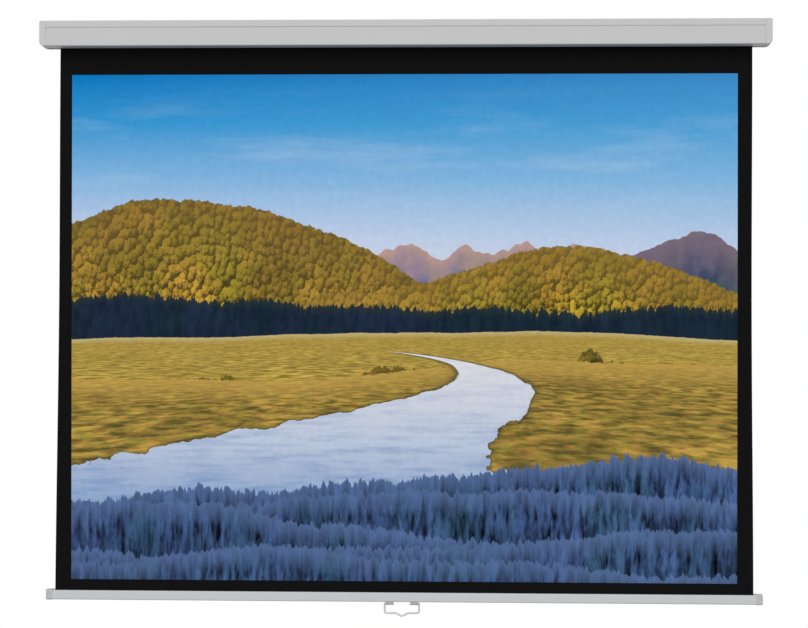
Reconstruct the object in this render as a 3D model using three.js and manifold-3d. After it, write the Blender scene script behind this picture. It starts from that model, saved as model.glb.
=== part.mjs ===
// A pull down projector screen for a wall: a case with a spring roller, a bordered fabric and a weighted bar.
// Millimetres. X runs along the case, Y points into the wall, whose face is y = 0, and Z points up.
// The two wall screws that it hangs on lie on z = 0, evenly either side of x = 0.
import * as THREE from "three";
import { mergeVertices } from "three/addons/utils/BufferGeometryUtils.js";
import Module from "manifold-3d";

const wasm = await Module();
wasm.setup();

// Case, outside sizes
const caseBeyondFabric = 46.5;
const caseDepth = 62;
const caseHeight = 66;
const caseWall = 1.2;
const caseBend = 2;
const caseFrontBend = 3;
const caseTopAboveScrews = 16;
const grooveDrop = 17.5;
const grooveHeight = 4.5;
const coverFit = 0.3;
const tongueLength = 9;
const slotWidth = 16;
const slotLipHeight = 5;
const seamGap = 0.3;

// Fabric and how it is wound
const fabricWidth = 1787;
const fabricThickness = 0.4;
const fabricWaist = 3;
const restWraps = 3;
const wrapFit = 0.1;
const sheetEndGap = 0.3;

// Roller
const rollerAheadOfMiddle = 2;
const tubeRadius = 19;
const tubeWall = 1;
const tubeOverhang = 12;
const splineWidth = 4.4;
const splineHeight = 2.2;
const splineFit = 0.2;
const splineAngleShare = 0.3;
const plugFit = 0.3;
const plugLength = 30;
const plugWall = 2.5;
const plugWeb = 4;
const plugFlange = 2;
const hubWall = 3.5;
const hubLength = 16;

// Idle end
const gudgeonRadius = 3;
const gudgeonInPlug = 14;
const gudgeonPastPlate = 3;
const bushWall = 2.2;
const bushFlangeWidth = 2;
const bushFlangeThickness = 1.5;
const bushPastPlate = 1;
const runningFit = 0.1;

// Spring end
const shaftRadius = 4;
const shaftInsideTube = 340;
const tangThickness = 3.4;
const tangWidth = 7.2;
const tangLength = 8;
const tangPastPlate = 4;
const tangFit = 0.15;
const shaftBushWall = 1.8;
const supportThickness = 8;
const supportFromShaftEnd = 5;
const anchorRim = 1;
const anchorLength = 14;
const anchorGap = 1;
const springCoilRadius = 12;
const springWireRadius = 0.9;
const springEndGap = 0.3;
const springTurns = 20;

// Ratchet, pawls and clip
const ratchetRadius = 9;
const ratchetThickness = 4;
const ratchetGap = 1;
const notchDepth = 3.2;
const notchMouth = 6.4;
const notchFloor = 4.4;
const pawlPivotRadius = 13;
const pawlPivotDegrees = 40;
const pawlInnerRadius = 11;
const pawlOuterRadius = 15;
const pawlToothRadius = 9.5;
const pawlToothDegrees = 4;
const pawlNeckDegrees = 6;
const pawlBossRadius = 3.4;
const pawlPinRadius = 1.5;
const pawlPinHead = 1;
const pawlPinHeadRadius = 2.6;
const pawlPinInPlug = 3.5;
const clipWidth = 2.4;
const clipThickness = 1;
const clipGap = 0.6;
const clipMouth = 4;
const clipGrooveDepth = 0.8;
const clipRingFit = 0.1;
const clipSideFit = 0.1;

// End caps and the plates inside them
const endCapWidth = 17;
const endCapWall = 2;
const endCapCorner = 12.5;
const endCapTopCorner = 1.5;
const spigotLength = 12;
const spigotRoot = 5;
const spigotWall = 2;
const spigotFit = 0.3;
const plateThickness = 2;
const plateInset = 3;
const plateWidth = 34;
const plateHeight = 56;
const plateCorner = 4;
const capScrewSpacing = 32;
const capScrewRadius = 1.9;
const capScrewHeadRadius = 3.8;
const capScrewHeadHeight = 2;
const capScrewPastPlate = 2;
const screwFit = 0.2;
const bossRadius = 5;

// Hangers on the back
const hangerFromCaseEnd = 90;
const hangerStandoff = 6;
const hangerSteel = 1.5;
const hangerPlateWidth = 36;
const hangerFootWidth = 18;
const hangerBend = 2;
const hangerAboveScrew = 12;
const hangerBelowScrew = 30;
const keyholeSlotRadius = 2.7;
const keyholeHeadRadius = 5.5;
const keyholeDrop = 12;
const wallScrewRadius = 2.5;
const rivetRadius = 2;
const rivetHeadRadius = 4;
const rivetHeadHeight = 1.3;
const rivetTailRadius = 3;
const rivetTailHeight = 1.6;

// Bottom bar and its hem
const barDrop = 1400;
const barBeyondFabric = 23;
const barFrontHeight = 24;
const barDepth = 18;
const barWall = 1.6;
const barCorner = 3;
const barSlotWidth = 2.2;
const barFlangeRise = 3;
const barCapWidth = 16;
const barCapMargin = 0.8;
const barCapCorner = 3.5;
const barCapPlugLength = 20;
const barCapPlugHeight = 10;
const barCapPlugFit = 0.3;
const hemRodRadius = 2.4;
const hemRodFit = 0.1;
const hemLipGap = 0.3;

// Handle
const lugFromCentre = 21;
const lugLength = 20;
const lugDepth = 12;
const lugHeight = 8;
const lugBoreDepth = 13;
const lugBoreFit = 0.2;
const lugScrewFromInner = 4;
const lugScrewRadius = 1.5;
const lugScrewHeadRadius = 2.8;
const lugScrewHeadHeight = 1.6;
const lugScrewPastWall = 3;
const lugScrewFit = 0.2;
const handleSideGap = 0.5;
const handleRodRadius = 2.5;
const handleDrop = 24.2;
const handleBend = 5.5;
const dipHalfWidth = 17;
const dipDepth = 8;
const dipBend = 6;
const handleEndGap = 1;
const pivotBelowBar = 4;

// Counts
const bendSteps = 4;
const roundSteps = 40;
const smallSteps = 20;
const capCornerSteps = 8;
const rodSides = 10;
const waistSteps = 8;
const springStepsPerTurn = 8;
const springSides = 5;
const quarterTurn = 90;
const overrun = 1;
const mergeReach = 1e-4;

// Shares of the sizes that they follow
const screwCrownShare = 0.55;
const rivetTailShare = 0.6;
const rivetRimShare = 0.9;
const rivetCrownShare = 0.4;
const lugRoundShare = 0.8;
const pivotBendShare = 0.5;
const gudgeonNoseShare = 0.75;

// Places worked out from the sizes above
const backY = -hangerStandoff;
const frontY = backY - caseDepth;
const topZ = caseTopAboveScrews;
const underZ = topZ - caseHeight;
const axisY = (frontY + backY) / 2 - rollerAheadOfMiddle;
const axisZ = (topZ + underZ) / 2;
const caseHalf = fabricWidth / 2 + caseBeyondFabric;
const hangerX = caseHalf - hangerFromCaseEnd;
const shellHalf = caseHalf - endCapWidth - seamGap;
const woundRadius = tubeRadius + wrapFit + restWraps * fabricThickness;
const fabricY = axisY + woundRadius - fabricThickness / 2;
const slotFrontY = fabricY - slotWidth / 2;
const slotBackY = fabricY + slotWidth / 2;
const tubeHalf = fabricWidth / 2 + tubeOverhang;
const plateInnerX = caseHalf - endCapWidth + plateInset;
const plateOuterX = plateInnerX + plateThickness;
const lipZ = underZ - barDrop;
const barUnderZ = lipZ - barFrontHeight;
const barFrontY = fabricY - barDepth / 2;
const barBackY = fabricY + barDepth / 2;
const barEnd = fabricWidth / 2 + barBeyondFabric;
const barHalf = barEnd - barCapWidth;
const hemRadius = hemRodRadius + hemRodFit + fabricThickness;
const hemZ = lipZ - barWall - hemLipGap - hemRadius;
const sheetEndZ = lipZ - barWall;
const pivotZ = barUnderZ - pivotBelowBar;
const ratchetX = tubeHalf + plugFlange + ratchetGap;
const clipX = ratchetX + ratchetThickness + clipGap;
const clipGrooveRadius = shaftRadius - clipGrooveDepth;
const clipInnerRadius = clipGrooveRadius + clipRingFit;
const clipOuterRadius = clipInnerRadius + clipWidth;
const springPlugBore = shaftRadius + runningFit + shaftBushWall + runningFit;
const keywayWidth = splineWidth + 2 * (splineFit + tubeWall);
const keywayDepth = splineHeight + splineFit + tubeWall;

// Finishes
const finishes = {
  caseGrey: { color: 0xc4c4c4, roughness: 0.5, metalness: 0.1 },
  capGrey: { color: 0xbdbdbe, roughness: 0.6, metalness: 0 },
  barGrey: { color: 0xc2c3c4, roughness: 0.42, metalness: 0.35 },
  barCapGrey: { color: 0xb2b2b4, roughness: 0.6, metalness: 0 },
  steel: { color: 0xa9abad, roughness: 0.4, metalness: 0.9 },
  zinc: { color: 0xb9bcc0, roughness: 0.35, metalness: 0.9 },
  brightSteel: { color: 0xd2d3d5, roughness: 0.25, metalness: 0.95 },
  handleCoat: { color: 0xd0d0d0, roughness: 0.4, metalness: 0 },
  springSteel: { color: 0x5a5c60, roughness: 0.4, metalness: 0.9 },
  bronze: { color: 0x9b7442, roughness: 0.45, metalness: 0.8 },
  plugWhite: { color: 0xd9d8d2, roughness: 0.6, metalness: 0 },
  fabricBlack: { color: 0x151515, roughness: 0.9, metalness: 0 },
  screenWhite: { color: 0xe9e9e6, roughness: 0.95, metalness: 0 },
};

// Outline helpers: points are [u, v] pairs, and a corner is [u, v, radius]
function arc(u, v, radius, from, to, steps) {
  const points = [];
  for (let i = 0; i <= steps; i++) {
    const a = from + ((to - from) * i) / steps;
    points.push([u + radius * Math.cos(a), v + radius * Math.sin(a)]);
  }
  return points;
}

function circle(u, v, radius, steps) {
  return arc(u, v, radius, 0, 2 * Math.PI, steps).slice(0, steps);
}

function filleted(corners, closed, steps = bendSteps) {
  const count = corners.length;
  return corners.flatMap(([u, v, radius = 0], i) => {
    const isEnd = !closed && (i === 0 || i === count - 1);
    if (isEnd || radius <= 0) return [[u, v]];
    const here = new THREE.Vector2(u, v);
    const before = new THREE.Vector2(...corners[(i + count - 1) % count]).sub(here).normalize();
    const after = new THREE.Vector2(...corners[(i + 1) % count]).sub(here).normalize();
    const half = Math.acos(before.dot(after)) / 2;
    const inward = before.clone().add(after).normalize();
    const centre = here.clone().addScaledVector(inward, radius / Math.sin(half));
    const start = here.clone().addScaledVector(before, radius / Math.tan(half)).sub(centre);
    const turn = (Math.PI - 2 * half) * Math.sign(after.cross(before));
    const from = start.angle();
    return arc(centre.x, centre.y, radius, from, from + turn, steps);
  });
}

// A bent sheet: the path is its outer side, and its thickness lies to the left of the way along
function foldedSheet(path, thickness) {
  const normals = path.slice(1).map(([u, v], i) => {
    const along = new THREE.Vector2(u - path[i][0], v - path[i][1]).normalize();
    return new THREE.Vector2(-along.y, along.x);
  });
  const inner = path.map(([u, v], i) => {
    const first = normals[Math.max(i - 1, 0)];
    const second = normals[Math.min(i, normals.length - 1)];
    const mitre = first.clone().add(second);
    mitre.multiplyScalar(thickness / (1 + first.dot(second)));
    return [u + mitre.x, v + mitre.y];
  });
  return [...path, ...inner.reverse()];
}

function box2(lowU, highU, lowV, highV, radius = 0) {
  const corners = [
    [lowU, lowV, radius],
    [highU, lowV, radius],
    [highU, highV, radius],
    [lowU, highV, radius],
  ];
  return filleted(corners, true);
}

function shapeOf(points, holes = []) {
  const shape = new THREE.Shape(points.map(([u, v]) => new THREE.Vector2(u, v)));
  shape.holes = holes.map((hole) => new THREE.Path(hole.map(([u, v]) => new THREE.Vector2(u, v))));
  return shape;
}

// Prisms along the three axes: X takes [y, z] points, Y takes [x, z] points, and Z takes [x, y] points
const axisBases = {
  x: [new THREE.Vector3(0, 1, 0), new THREE.Vector3(0, 0, 1), new THREE.Vector3(1, 0, 0)],
  y: [new THREE.Vector3(1, 0, 0), new THREE.Vector3(0, 0, 1), new THREE.Vector3(0, -1, 0)],
  z: [new THREE.Vector3(1, 0, 0), new THREE.Vector3(0, 1, 0), new THREE.Vector3(0, 0, 1)],
};

function prism(axis, points, from, to, holes) {
  const low = Math.min(from, to);
  const high = Math.max(from, to);
  const geometry = new THREE.ExtrudeGeometry(shapeOf(points, holes), {
    depth: high - low,
    bevelEnabled: false,
    steps: 1,
  });
  geometry.applyMatrix4(new THREE.Matrix4().makeBasis(...axisBases[axis]));
  const start = axis === "y" ? high : low;
  const shift = { x: [start, 0, 0], y: [0, start, 0], z: [0, 0, start] };
  return geometry.translate(...shift[axis]);
}

// A turned piece: the profile is [distance along, radius] pairs along X from the point x, y, z
function turned(profile, sign, x, y, z, steps) {
  const points = profile.map(([along, radius]) => new THREE.Vector2(radius, along));
  const isForward = THREE.ShapeUtils.area(points) > 0;
  const geometry = new THREE.LatheGeometry(isForward ? points : points.reverse(), steps);
  const basis = [new THREE.Vector3(0, 0, sign), new THREE.Vector3(sign, 0, 0), new THREE.Vector3(0, 1, 0)];
  geometry.applyMatrix4(new THREE.Matrix4().makeBasis(...basis));
  return geometry.translate(x, y, z);
}

function closedProfile(points) {
  return [...points, points[0]];
}

// Solids for cuts and joins
function solid(geometry) {
  const bare = geometry.clone();
  bare.deleteAttribute("normal");
  bare.deleteAttribute("uv");
  const merged = mergeVertices(bare, mergeReach);
  const mesh = new wasm.Mesh({
    numProp: 3,
    vertProperties: merged.attributes.position.array,
    triVerts: new Uint32Array(merged.index.array),
  });
  return new wasm.Manifold(mesh);
}

function geometryOf(manifold) {
  const { vertProperties, triVerts, numProp } = manifold.getMesh();
  const positions = new Float32Array((vertProperties.length / numProp) * 3);
  for (let i = 0; i < positions.length / 3; i++) {
    positions.set(vertProperties.subarray(i * numProp, i * numProp + 3), i * 3);
  }
  const geometry = new THREE.BufferGeometry();
  geometry.setAttribute("position", new THREE.BufferAttribute(positions, 3));
  geometry.setIndex(new THREE.BufferAttribute(new Uint32Array(triVerts), 1));
  geometry.computeVertexNormals();
  return geometry;
}

function carved(base, ...tools) {
  return tools.reduce((left, tool) => left.subtract(solid(tool)), base);
}

// A rod that follows the points of a flat path
class PointPath extends THREE.Curve {
  constructor(points) {
    super();
    this.points = points;
  }
  getPoint(t, target = new THREE.Vector3()) {
    const place = t * (this.points.length - 1);
    const index = Math.min(Math.floor(place), this.points.length - 2);
    return target.lerpVectors(this.points[index], this.points[index + 1], place - index);
  }
  getPointAt(u, target) {
    return this.getPoint(u, target);
  }
  getTangentAt(u, target = new THREE.Vector3()) {
    const last = this.points.length - 1;
    const index = Math.round(u * last);
    const before = this.points[Math.max(index - 1, 0)];
    const after = this.points[Math.min(index + 1, last)];
    const here = this.points[index];
    const arriving = here.clone().sub(before).normalize();
    const leaving = after.clone().sub(here).normalize();
    return target.addVectors(arriving, leaving).normalize();
  }
}

function rodAlong(points, radius, sides) {
  const section = shapeOf(circle(0, 0, radius, sides));
  return new THREE.ExtrudeGeometry(section, {
    steps: points.length - 1,
    extrudePath: new PointPath(points),
    bevelEnabled: false,
  });
}

const screen = new THREE.Group();

function place(group, name, made, finish) {
  const geometry = made instanceof THREE.BufferGeometry ? made : geometryOf(made);
  const mesh = new THREE.Mesh(geometry, new THREE.MeshStandardMaterial(finishes[finish]));
  mesh.name = name;
  group.add(mesh);
}

const sides = { left: -1, right: 1 };

// Case: a rear shell with the top and back, and a front cover that laps over its tongue
function rearShellPath() {
  const grooveTop = topZ - grooveDrop;
  const tongueY = frontY + caseWall + coverFit;
  return filleted(
    [
      [slotBackY, underZ + slotLipHeight],
      [slotBackY, underZ, caseBend],
      [backY, underZ, caseBend],
      [backY, topZ, caseBend],
      [frontY, topZ, caseBend],
      [frontY, grooveTop],
      [tongueY, grooveTop],
      [tongueY, grooveTop - grooveHeight - tongueLength],
    ],
    false,
  );
}

function frontCoverPath() {
  return filleted(
    [
      [frontY, topZ - grooveDrop - grooveHeight],
      [frontY, underZ, caseFrontBend],
      [slotFrontY, underZ, caseBend],
      [slotFrontY, underZ + slotLipHeight],
    ],
    false,
  );
}

function rivetPlaces() {
  const toFoot = (hangerPlateWidth + hangerFootWidth) / 2;
  const z = (hangerAboveScrew - hangerBelowScrew) / 2;
  return Object.entries(sides).flatMap(([side, sign]) => [
    { name: `${side}_inner`, x: sign * (hangerX - toFoot), z },
    { name: `${side}_outer`, x: sign * (hangerX + toFoot), z },
  ]);
}

function rivetHole({ x, z }) {
  return prism("y", circle(x, z, rivetRadius + screwFit, smallSteps), backY - overrun - caseWall, 0);
}

function rearShell() {
  const shell = prism("x", foldedSheet(rearShellPath(), caseWall), -shellHalf, shellHalf);
  return carved(solid(shell), ...rivetPlaces().map(rivetHole));
}

function frontCover() {
  return prism("x", foldedSheet(frontCoverPath(), caseWall), -shellHalf, shellHalf);
}

// End caps: a moulded cup with a rounded lower corner, a spigot into the case and two screw bosses
function capBody(sign, wall, innerX) {
  const outerX = sign * (caseHalf - wall);
  const frontView = filleted(
    [
      [innerX, topZ - wall],
      [outerX, topZ - wall, endCapTopCorner - wall],
      [outerX, underZ + wall, endCapCorner - wall],
      [innerX, underZ + wall],
    ],
    true,
    capCornerSteps,
  );
  const sideView = box2(frontY + wall, backY - wall, underZ + wall, topZ - wall, caseBend);
  const width = prism("y", frontView, frontY + wall, backY - wall);
  const section = prism("x", sideView, innerX, outerX);
  return solid(width).intersect(solid(section));
}

function spigot(sign) {
  const from = sign * (shellHalf - spigotLength);
  const to = sign * (caseHalf - endCapWidth + spigotRoot);
  const gap = caseWall + spigotFit;
  const outer = box2(frontY + gap, backY - gap, underZ + gap, topZ - gap, caseBend - spigotFit);
  const inner = box2(
    frontY + gap + spigotWall,
    backY - gap - spigotWall,
    underZ + gap + spigotWall,
    topZ - gap - spigotWall,
    caseBend - spigotFit,
  );
  const ring = prism("x", outer, from, to, [inner]);
  const notchEnd = sign * (caseHalf - endCapWidth + seamGap);
  const notchStart = from - sign * overrun;
  const tongueNotch = box2(
    frontY,
    frontY + gap + spigotWall + overrun,
    topZ - grooveDrop - grooveHeight - tongueLength - spigotFit,
    topZ - grooveDrop + caseWall + spigotFit,
  );
  const slotNotch = box2(
    slotFrontY - caseWall - spigotFit,
    slotBackY + caseWall + spigotFit,
    underZ,
    underZ + gap + spigotWall + overrun,
  );
  return carved(
    solid(ring),
    prism("x", tongueNotch, notchStart, notchEnd),
    prism("x", slotNotch, notchStart, notchEnd),
  );
}

function capScrewPlaces() {
  return [
    { name: "upper", z: axisZ + capScrewSpacing / 2 },
    { name: "lower", z: axisZ - capScrewSpacing / 2 },
  ];
}

function endCap(sign) {
  const innerX = sign * (caseHalf - endCapWidth);
  const cup = capBody(sign, 0, innerX).subtract(capBody(sign, endCapWall, innerX - sign * overrun));
  const bossEnd = sign * (plateOuterX + seamGap);
  const wallMiddle = sign * (caseHalf - endCapWall / 2);
  const bosses = capScrewPlaces().map(({ z }) =>
    solid(prism("x", circle(axisY, z, bossRadius, smallSteps), bossEnd, wallMiddle)),
  );
  const holes = capScrewPlaces().flatMap(({ z }) => {
    const bore = circle(axisY, z, capScrewRadius + screwFit, smallSteps);
    const recess = circle(axisY, z, capScrewHeadRadius + screwFit, smallSteps);
    const end = sign * (caseHalf + overrun);
    return [
      prism("x", bore, bossEnd - sign * overrun, end),
      prism("x", recess, sign * (caseHalf - capScrewHeadHeight - screwFit), end),
    ];
  });
  const whole = [spigot(sign), ...bosses].reduce((made, piece) => made.add(piece), cup);
  return carved(whole, ...holes);
}

function bearingPlate(sign, centreHole) {
  const outline = box2(
    axisY - plateWidth / 2,
    axisY + plateWidth / 2,
    axisZ - plateHeight / 2,
    axisZ + plateHeight / 2,
    plateCorner,
  );
  const screwHoles = capScrewPlaces().map(({ z }) =>
    circle(axisY, z, capScrewRadius + screwFit, smallSteps),
  );
  return prism("x", outline, sign * plateInnerX, sign * plateOuterX, [centreHole, ...screwHoles]);
}

function capScrew(sign, z) {
  const length = caseHalf - capScrewHeadHeight - plateInnerX + capScrewPastPlate;
  const crown = capScrewHeadRadius * screwCrownShare;
  const profile = [
    [0, 0],
    [0, capScrewRadius],
    [length, capScrewRadius],
    [length, capScrewHeadRadius],
    [length + capScrewHeadHeight / 2, capScrewHeadRadius],
    [length + capScrewHeadHeight, crown],
    [length + capScrewHeadHeight, 0],
  ];
  return turned(profile, sign, sign * (plateInnerX - capScrewPastPlate), axisY, z, smallSteps);
}

// Hangers: a steel hat section with a keyhole, riveted to the back of the case
function hanger(sign) {
  const x = sign * hangerX;
  const half = hangerPlateWidth / 2;
  const path = filleted(
    [
      [x - half - hangerFootWidth, backY + hangerSteel],
      [x - half, backY + hangerSteel, hangerBend - hangerSteel],
      [x - half, 0, hangerBend],
      [x + half, 0, hangerBend],
      [x + half, backY + hangerSteel, hangerBend - hangerSteel],
      [x + half + hangerFootWidth, backY + hangerSteel],
    ],
    false,
  );
  const outline = foldedSheet(path.reverse(), hangerSteel);
  const body = solid(prism("z", outline, -hangerBelowScrew, hangerAboveScrew));
  const slotTopZ = wallScrewRadius - keyholeSlotRadius;
  const slot = prism("y", keyholeOutline(x, slotTopZ), -hangerStandoff, overrun);
  const holes = rivetPlaces().map(rivetHole);
  return carved(body, slot, ...holes);
}

function keyholeOutline(x, slotTopZ) {
  const headZ = slotTopZ - keyholeDrop;
  const half = Math.asin(keyholeSlotRadius / keyholeHeadRadius);
  const head = arc(
    x,
    headZ,
    keyholeHeadRadius,
    Math.PI / 2 + half,
    (5 * Math.PI) / 2 - half,
    smallSteps,
  );
  return [...arc(x, slotTopZ, keyholeSlotRadius, 0, Math.PI, smallSteps / 2), ...head];
}

function rivet({ x, z }) {
  const grip = hangerSteel + caseWall;
  const profile = [
    [-rivetTailHeight, 0],
    [-rivetTailHeight, rivetTailRadius * rivetTailShare],
    [-rivetTailHeight / 2, rivetTailRadius],
    [0, rivetTailRadius],
    [0, rivetRadius],
    [grip, rivetRadius],
    [grip, rivetHeadRadius],
    [grip + rivetHeadHeight / 2, rivetHeadRadius * rivetRimShare],
    [grip + rivetHeadHeight, rivetHeadRadius * rivetCrownShare],
    [grip + rivetHeadHeight, 0],
  ];
  const piece = turned(profile, 1, 0, 0, 0, smallSteps);
  piece.rotateZ(Math.PI / 2);
  return piece.translate(x, backY - caseWall, z);
}

// Roller: a steel tube with a pressed groove that the fabric's spline sits in, and a plug in each end
const splineAngle = 2 * Math.PI * splineAngleShare;

function grooved(radius, halfWidth, floorRadius, steps) {
  const half = Math.asin(halfWidth / radius);
  const rim = arc(0, 0, radius, half, 2 * Math.PI - half, steps);
  const floor = [
    [floorRadius, -halfWidth],
    [floorRadius, halfWidth],
  ];
  const cos = Math.cos(splineAngle);
  const sin = Math.sin(splineAngle);
  return [...rim, ...floor].map(([u, v]) => [
    axisY + u * cos - v * sin,
    axisZ + u * sin + v * cos,
  ]);
}

function rollerTube() {
  const grooveHalf = splineWidth / 2 + splineFit;
  const grooveFloor = tubeRadius - splineHeight - splineFit;
  const outer = grooved(tubeRadius, grooveHalf, grooveFloor, roundSteps);
  const inner = grooved(
    tubeRadius - tubeWall,
    grooveHalf + tubeWall,
    grooveFloor - tubeWall,
    roundSteps,
  );
  return prism("x", outer, -tubeHalf, tubeHalf, [inner]);
}

function fabricSpline() {
  const high = tubeRadius - splineFit;
  const strip = box2(high - splineHeight, high, -splineWidth / 2, splineWidth / 2, splineFit);
  const cos = Math.cos(splineAngle);
  const sin = Math.sin(splineAngle);
  const points = strip.map(([u, v]) => [axisY + u * cos - v * sin, axisZ + u * sin + v * cos]);
  return prism("x", points, -fabricWidth / 2, fabricWidth / 2);
}

// The wraps end in a step as thick as the fabric, which the hanging sheet carries on from
function fabricWraps() {
  const outer = [];
  for (let i = 0; i <= roundSteps; i++) {
    const share = i / roundSteps;
    const a = 2 * Math.PI * share;
    const radius = woundRadius - fabricThickness * share;
    outer.push([axisY + radius * Math.cos(a), axisZ + radius * Math.sin(a)]);
  }
  const inner = circle(axisY, axisZ, tubeRadius + wrapFit, roundSteps);
  return prism("x", outer, -fabricWidth / 2, fabricWidth / 2, [inner]);
}

function plugProfile(bore) {
  const outer = tubeRadius - tubeWall - plugFit;
  const hub = bore + hubWall;
  return closedProfile([
    [plugLength, bore],
    [plugLength - hubLength, bore],
    [plugLength - hubLength, hub],
    [plugLength - plugWeb, hub],
    [plugLength - plugWeb, outer - plugWall],
    [0, outer - plugWall],
    [0, outer],
    [plugLength, outer],
    [plugLength, tubeRadius],
    [plugLength + plugFlange, tubeRadius],
    [plugLength + plugFlange, bore],
  ]);
}

function keyway(sign, fromX, toX) {
  const half = keywayWidth / 2 + plugFit;
  const low = tubeRadius - keywayDepth - plugFit;
  const cos = Math.cos(splineAngle);
  const sin = Math.sin(splineAngle);
  const points = box2(low, tubeRadius, -half, half).map(([u, v]) => [
    axisY + u * cos - v * sin,
    axisZ + u * sin + v * cos,
  ]);
  return prism("x", points, sign * fromX, sign * toX);
}

function plug(sign, bore, pinHoles = []) {
  const start = tubeHalf - plugLength;
  const body = solid(turned(plugProfile(bore), sign, sign * start, axisY, axisZ, roundSteps));
  return carved(body, keyway(sign, start - overrun, tubeHalf + plugFlange / 2), ...pinHoles);
}

function gudgeonPin() {
  const from = tubeHalf - gudgeonInPlug;
  const length = plateOuterX + gudgeonPastPlate - from;
  const nose = gudgeonRadius * gudgeonNoseShare;
  const profile = [
    [0, 0],
    [0, gudgeonRadius],
    [length - (gudgeonRadius - nose), gudgeonRadius],
    [length, nose],
    [length, 0],
  ];
  return turned(profile, -1, -from, axisY, axisZ, smallSteps);
}

function gudgeonBush() {
  const bore = gudgeonRadius + runningFit;
  const body = bore + bushWall;
  const toPlate = bushFlangeThickness;
  const end = toPlate + plateThickness + bushPastPlate;
  const profile = closedProfile([
    [0, bore],
    [end, bore],
    [end, body],
    [toPlate, body],
    [toPlate, body + bushFlangeWidth],
    [0, body + bushFlangeWidth],
  ]);
  return turned(profile, -1, -(plateInnerX - bushFlangeThickness), axisY, axisZ, smallSteps);
}

function bushHole() {
  return circle(axisY, axisZ, gudgeonRadius + runningFit + bushWall + screwFit, smallSteps);
}

// Spring end: a fixed shaft, keyed to its plate by a flat tang, with the spring wound round it
function tangHole() {
  const half = tangThickness / 2 + tangFit;
  const tall = tangWidth / 2 + tangFit;
  return box2(axisY - half, axisY + half, axisZ - tall, axisZ + tall);
}

function springShaft() {
  const end = plateOuterX + tangPastPlate;
  const shoulder = end - tangLength;
  const shaft = prism(
    "x",
    circle(axisY, axisZ, shaftRadius, smallSteps),
    tubeHalf - shaftInsideTube,
    shoulder,
  );
  const tang = prism(
    "x",
    box2(
      axisY - tangThickness / 2,
      axisY + tangThickness / 2,
      axisZ - tangWidth / 2,
      axisZ + tangWidth / 2,
    ),
    shoulder - overrun,
    end,
  );
  const groove = prism(
    "x",
    circle(axisY, axisZ, clipOuterRadius, smallSteps),
    clipX - clipSideFit,
    clipX + clipThickness + clipSideFit,
    [circle(axisY, axisZ, clipGrooveRadius, smallSteps)],
  );
  return solid(shaft).add(solid(tang)).subtract(solid(groove));
}

function shaftBush() {
  const bore = shaftRadius + runningFit;
  const profile = closedProfile([
    [0, bore],
    [hubLength, bore],
    [hubLength, bore + shaftBushWall],
    [0, bore + shaftBushWall],
  ]);
  const start = tubeHalf - hubLength;
  return turned(profile, 1, start, axisY, axisZ, smallSteps);
}

function supportDisc() {
  const start = tubeHalf - shaftInsideTube + supportFromShaftEnd;
  const outline = circle(axisY, axisZ, tubeRadius - tubeWall - plugFit, roundSteps);
  const bore = circle(axisY, axisZ, shaftRadius + runningFit, smallSteps);
  const disc = prism("x", outline, start, start + supportThickness, [bore]);
  return carved(solid(disc), keyway(1, start - overrun, start + supportThickness + overrun));
}

const anchorX = tubeHalf - shaftInsideTube + supportFromShaftEnd + supportThickness + anchorGap;

function springAnchor() {
  const bore = shaftRadius + runningFit;
  const rim = springCoilRadius + springWireRadius + anchorRim;
  const profile = closedProfile([
    [0, bore],
    [anchorLength, bore],
    [anchorLength, rim],
    [0, rim],
  ]);
  return turned(profile, 1, anchorX, axisY, axisZ, smallSteps);
}

function springPoints() {
  const from = anchorX + anchorLength + springEndGap;
  const to = tubeHalf - plugWeb - springEndGap;
  const count = springTurns * springStepsPerTurn;
  const stub = 2 * springWireRadius;
  const points = [];
  for (let i = 0; i <= count; i++) {
    const a = (2 * Math.PI * i) / springStepsPerTurn;
    const x = from + stub + ((to - from - 2 * stub) * i) / count;
    points.push(
      new THREE.Vector3(
        x,
        axisY + springCoilRadius * Math.cos(a),
        axisZ + springCoilRadius * Math.sin(a),
      ),
    );
  }
  const first = points[0].clone().setX(from);
  const last = points[count].clone().setX(to);
  return [first, ...points, last];
}

function torsionSpring() {
  return rodAlong(springPoints(), springWireRadius, springSides);
}

// Ratchet: a fixed disc with a notch above and below, which the pawls on the plug fall into
function ratchetDisc() {
  const outline = circle(axisY, axisZ, ratchetRadius, roundSteps);
  const bore = circle(axisY, axisZ, shaftRadius + runningFit, smallSteps);
  const disc = prism("x", outline, ratchetX, ratchetX + ratchetThickness, [bore]);
  const floor = ratchetRadius - notchDepth;
  const rim = ratchetRadius + overrun;
  const notches = [1, -1].map((way) => {
    const points = [
      [axisY - notchMouth / 2, axisZ + way * rim],
      [axisY + notchMouth / 2, axisZ + way * rim],
      [axisY + notchFloor / 2, axisZ + way * floor],
      [axisY - notchFloor / 2, axisZ + way * floor],
    ];
    return prism("x", points, ratchetX - overrun, ratchetX + ratchetThickness + overrun);
  });
  return carved(solid(disc), ...notches);
}

const degree = Math.PI / 180;

function polar(radius, degrees, turn) {
  const a = (degrees + turn) * degree;
  return [axisY + radius * Math.cos(a), axisZ + radius * Math.sin(a)];
}

function pawlPivot(turn) {
  return polar(pawlPivotRadius, pawlPivotDegrees, turn);
}

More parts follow.
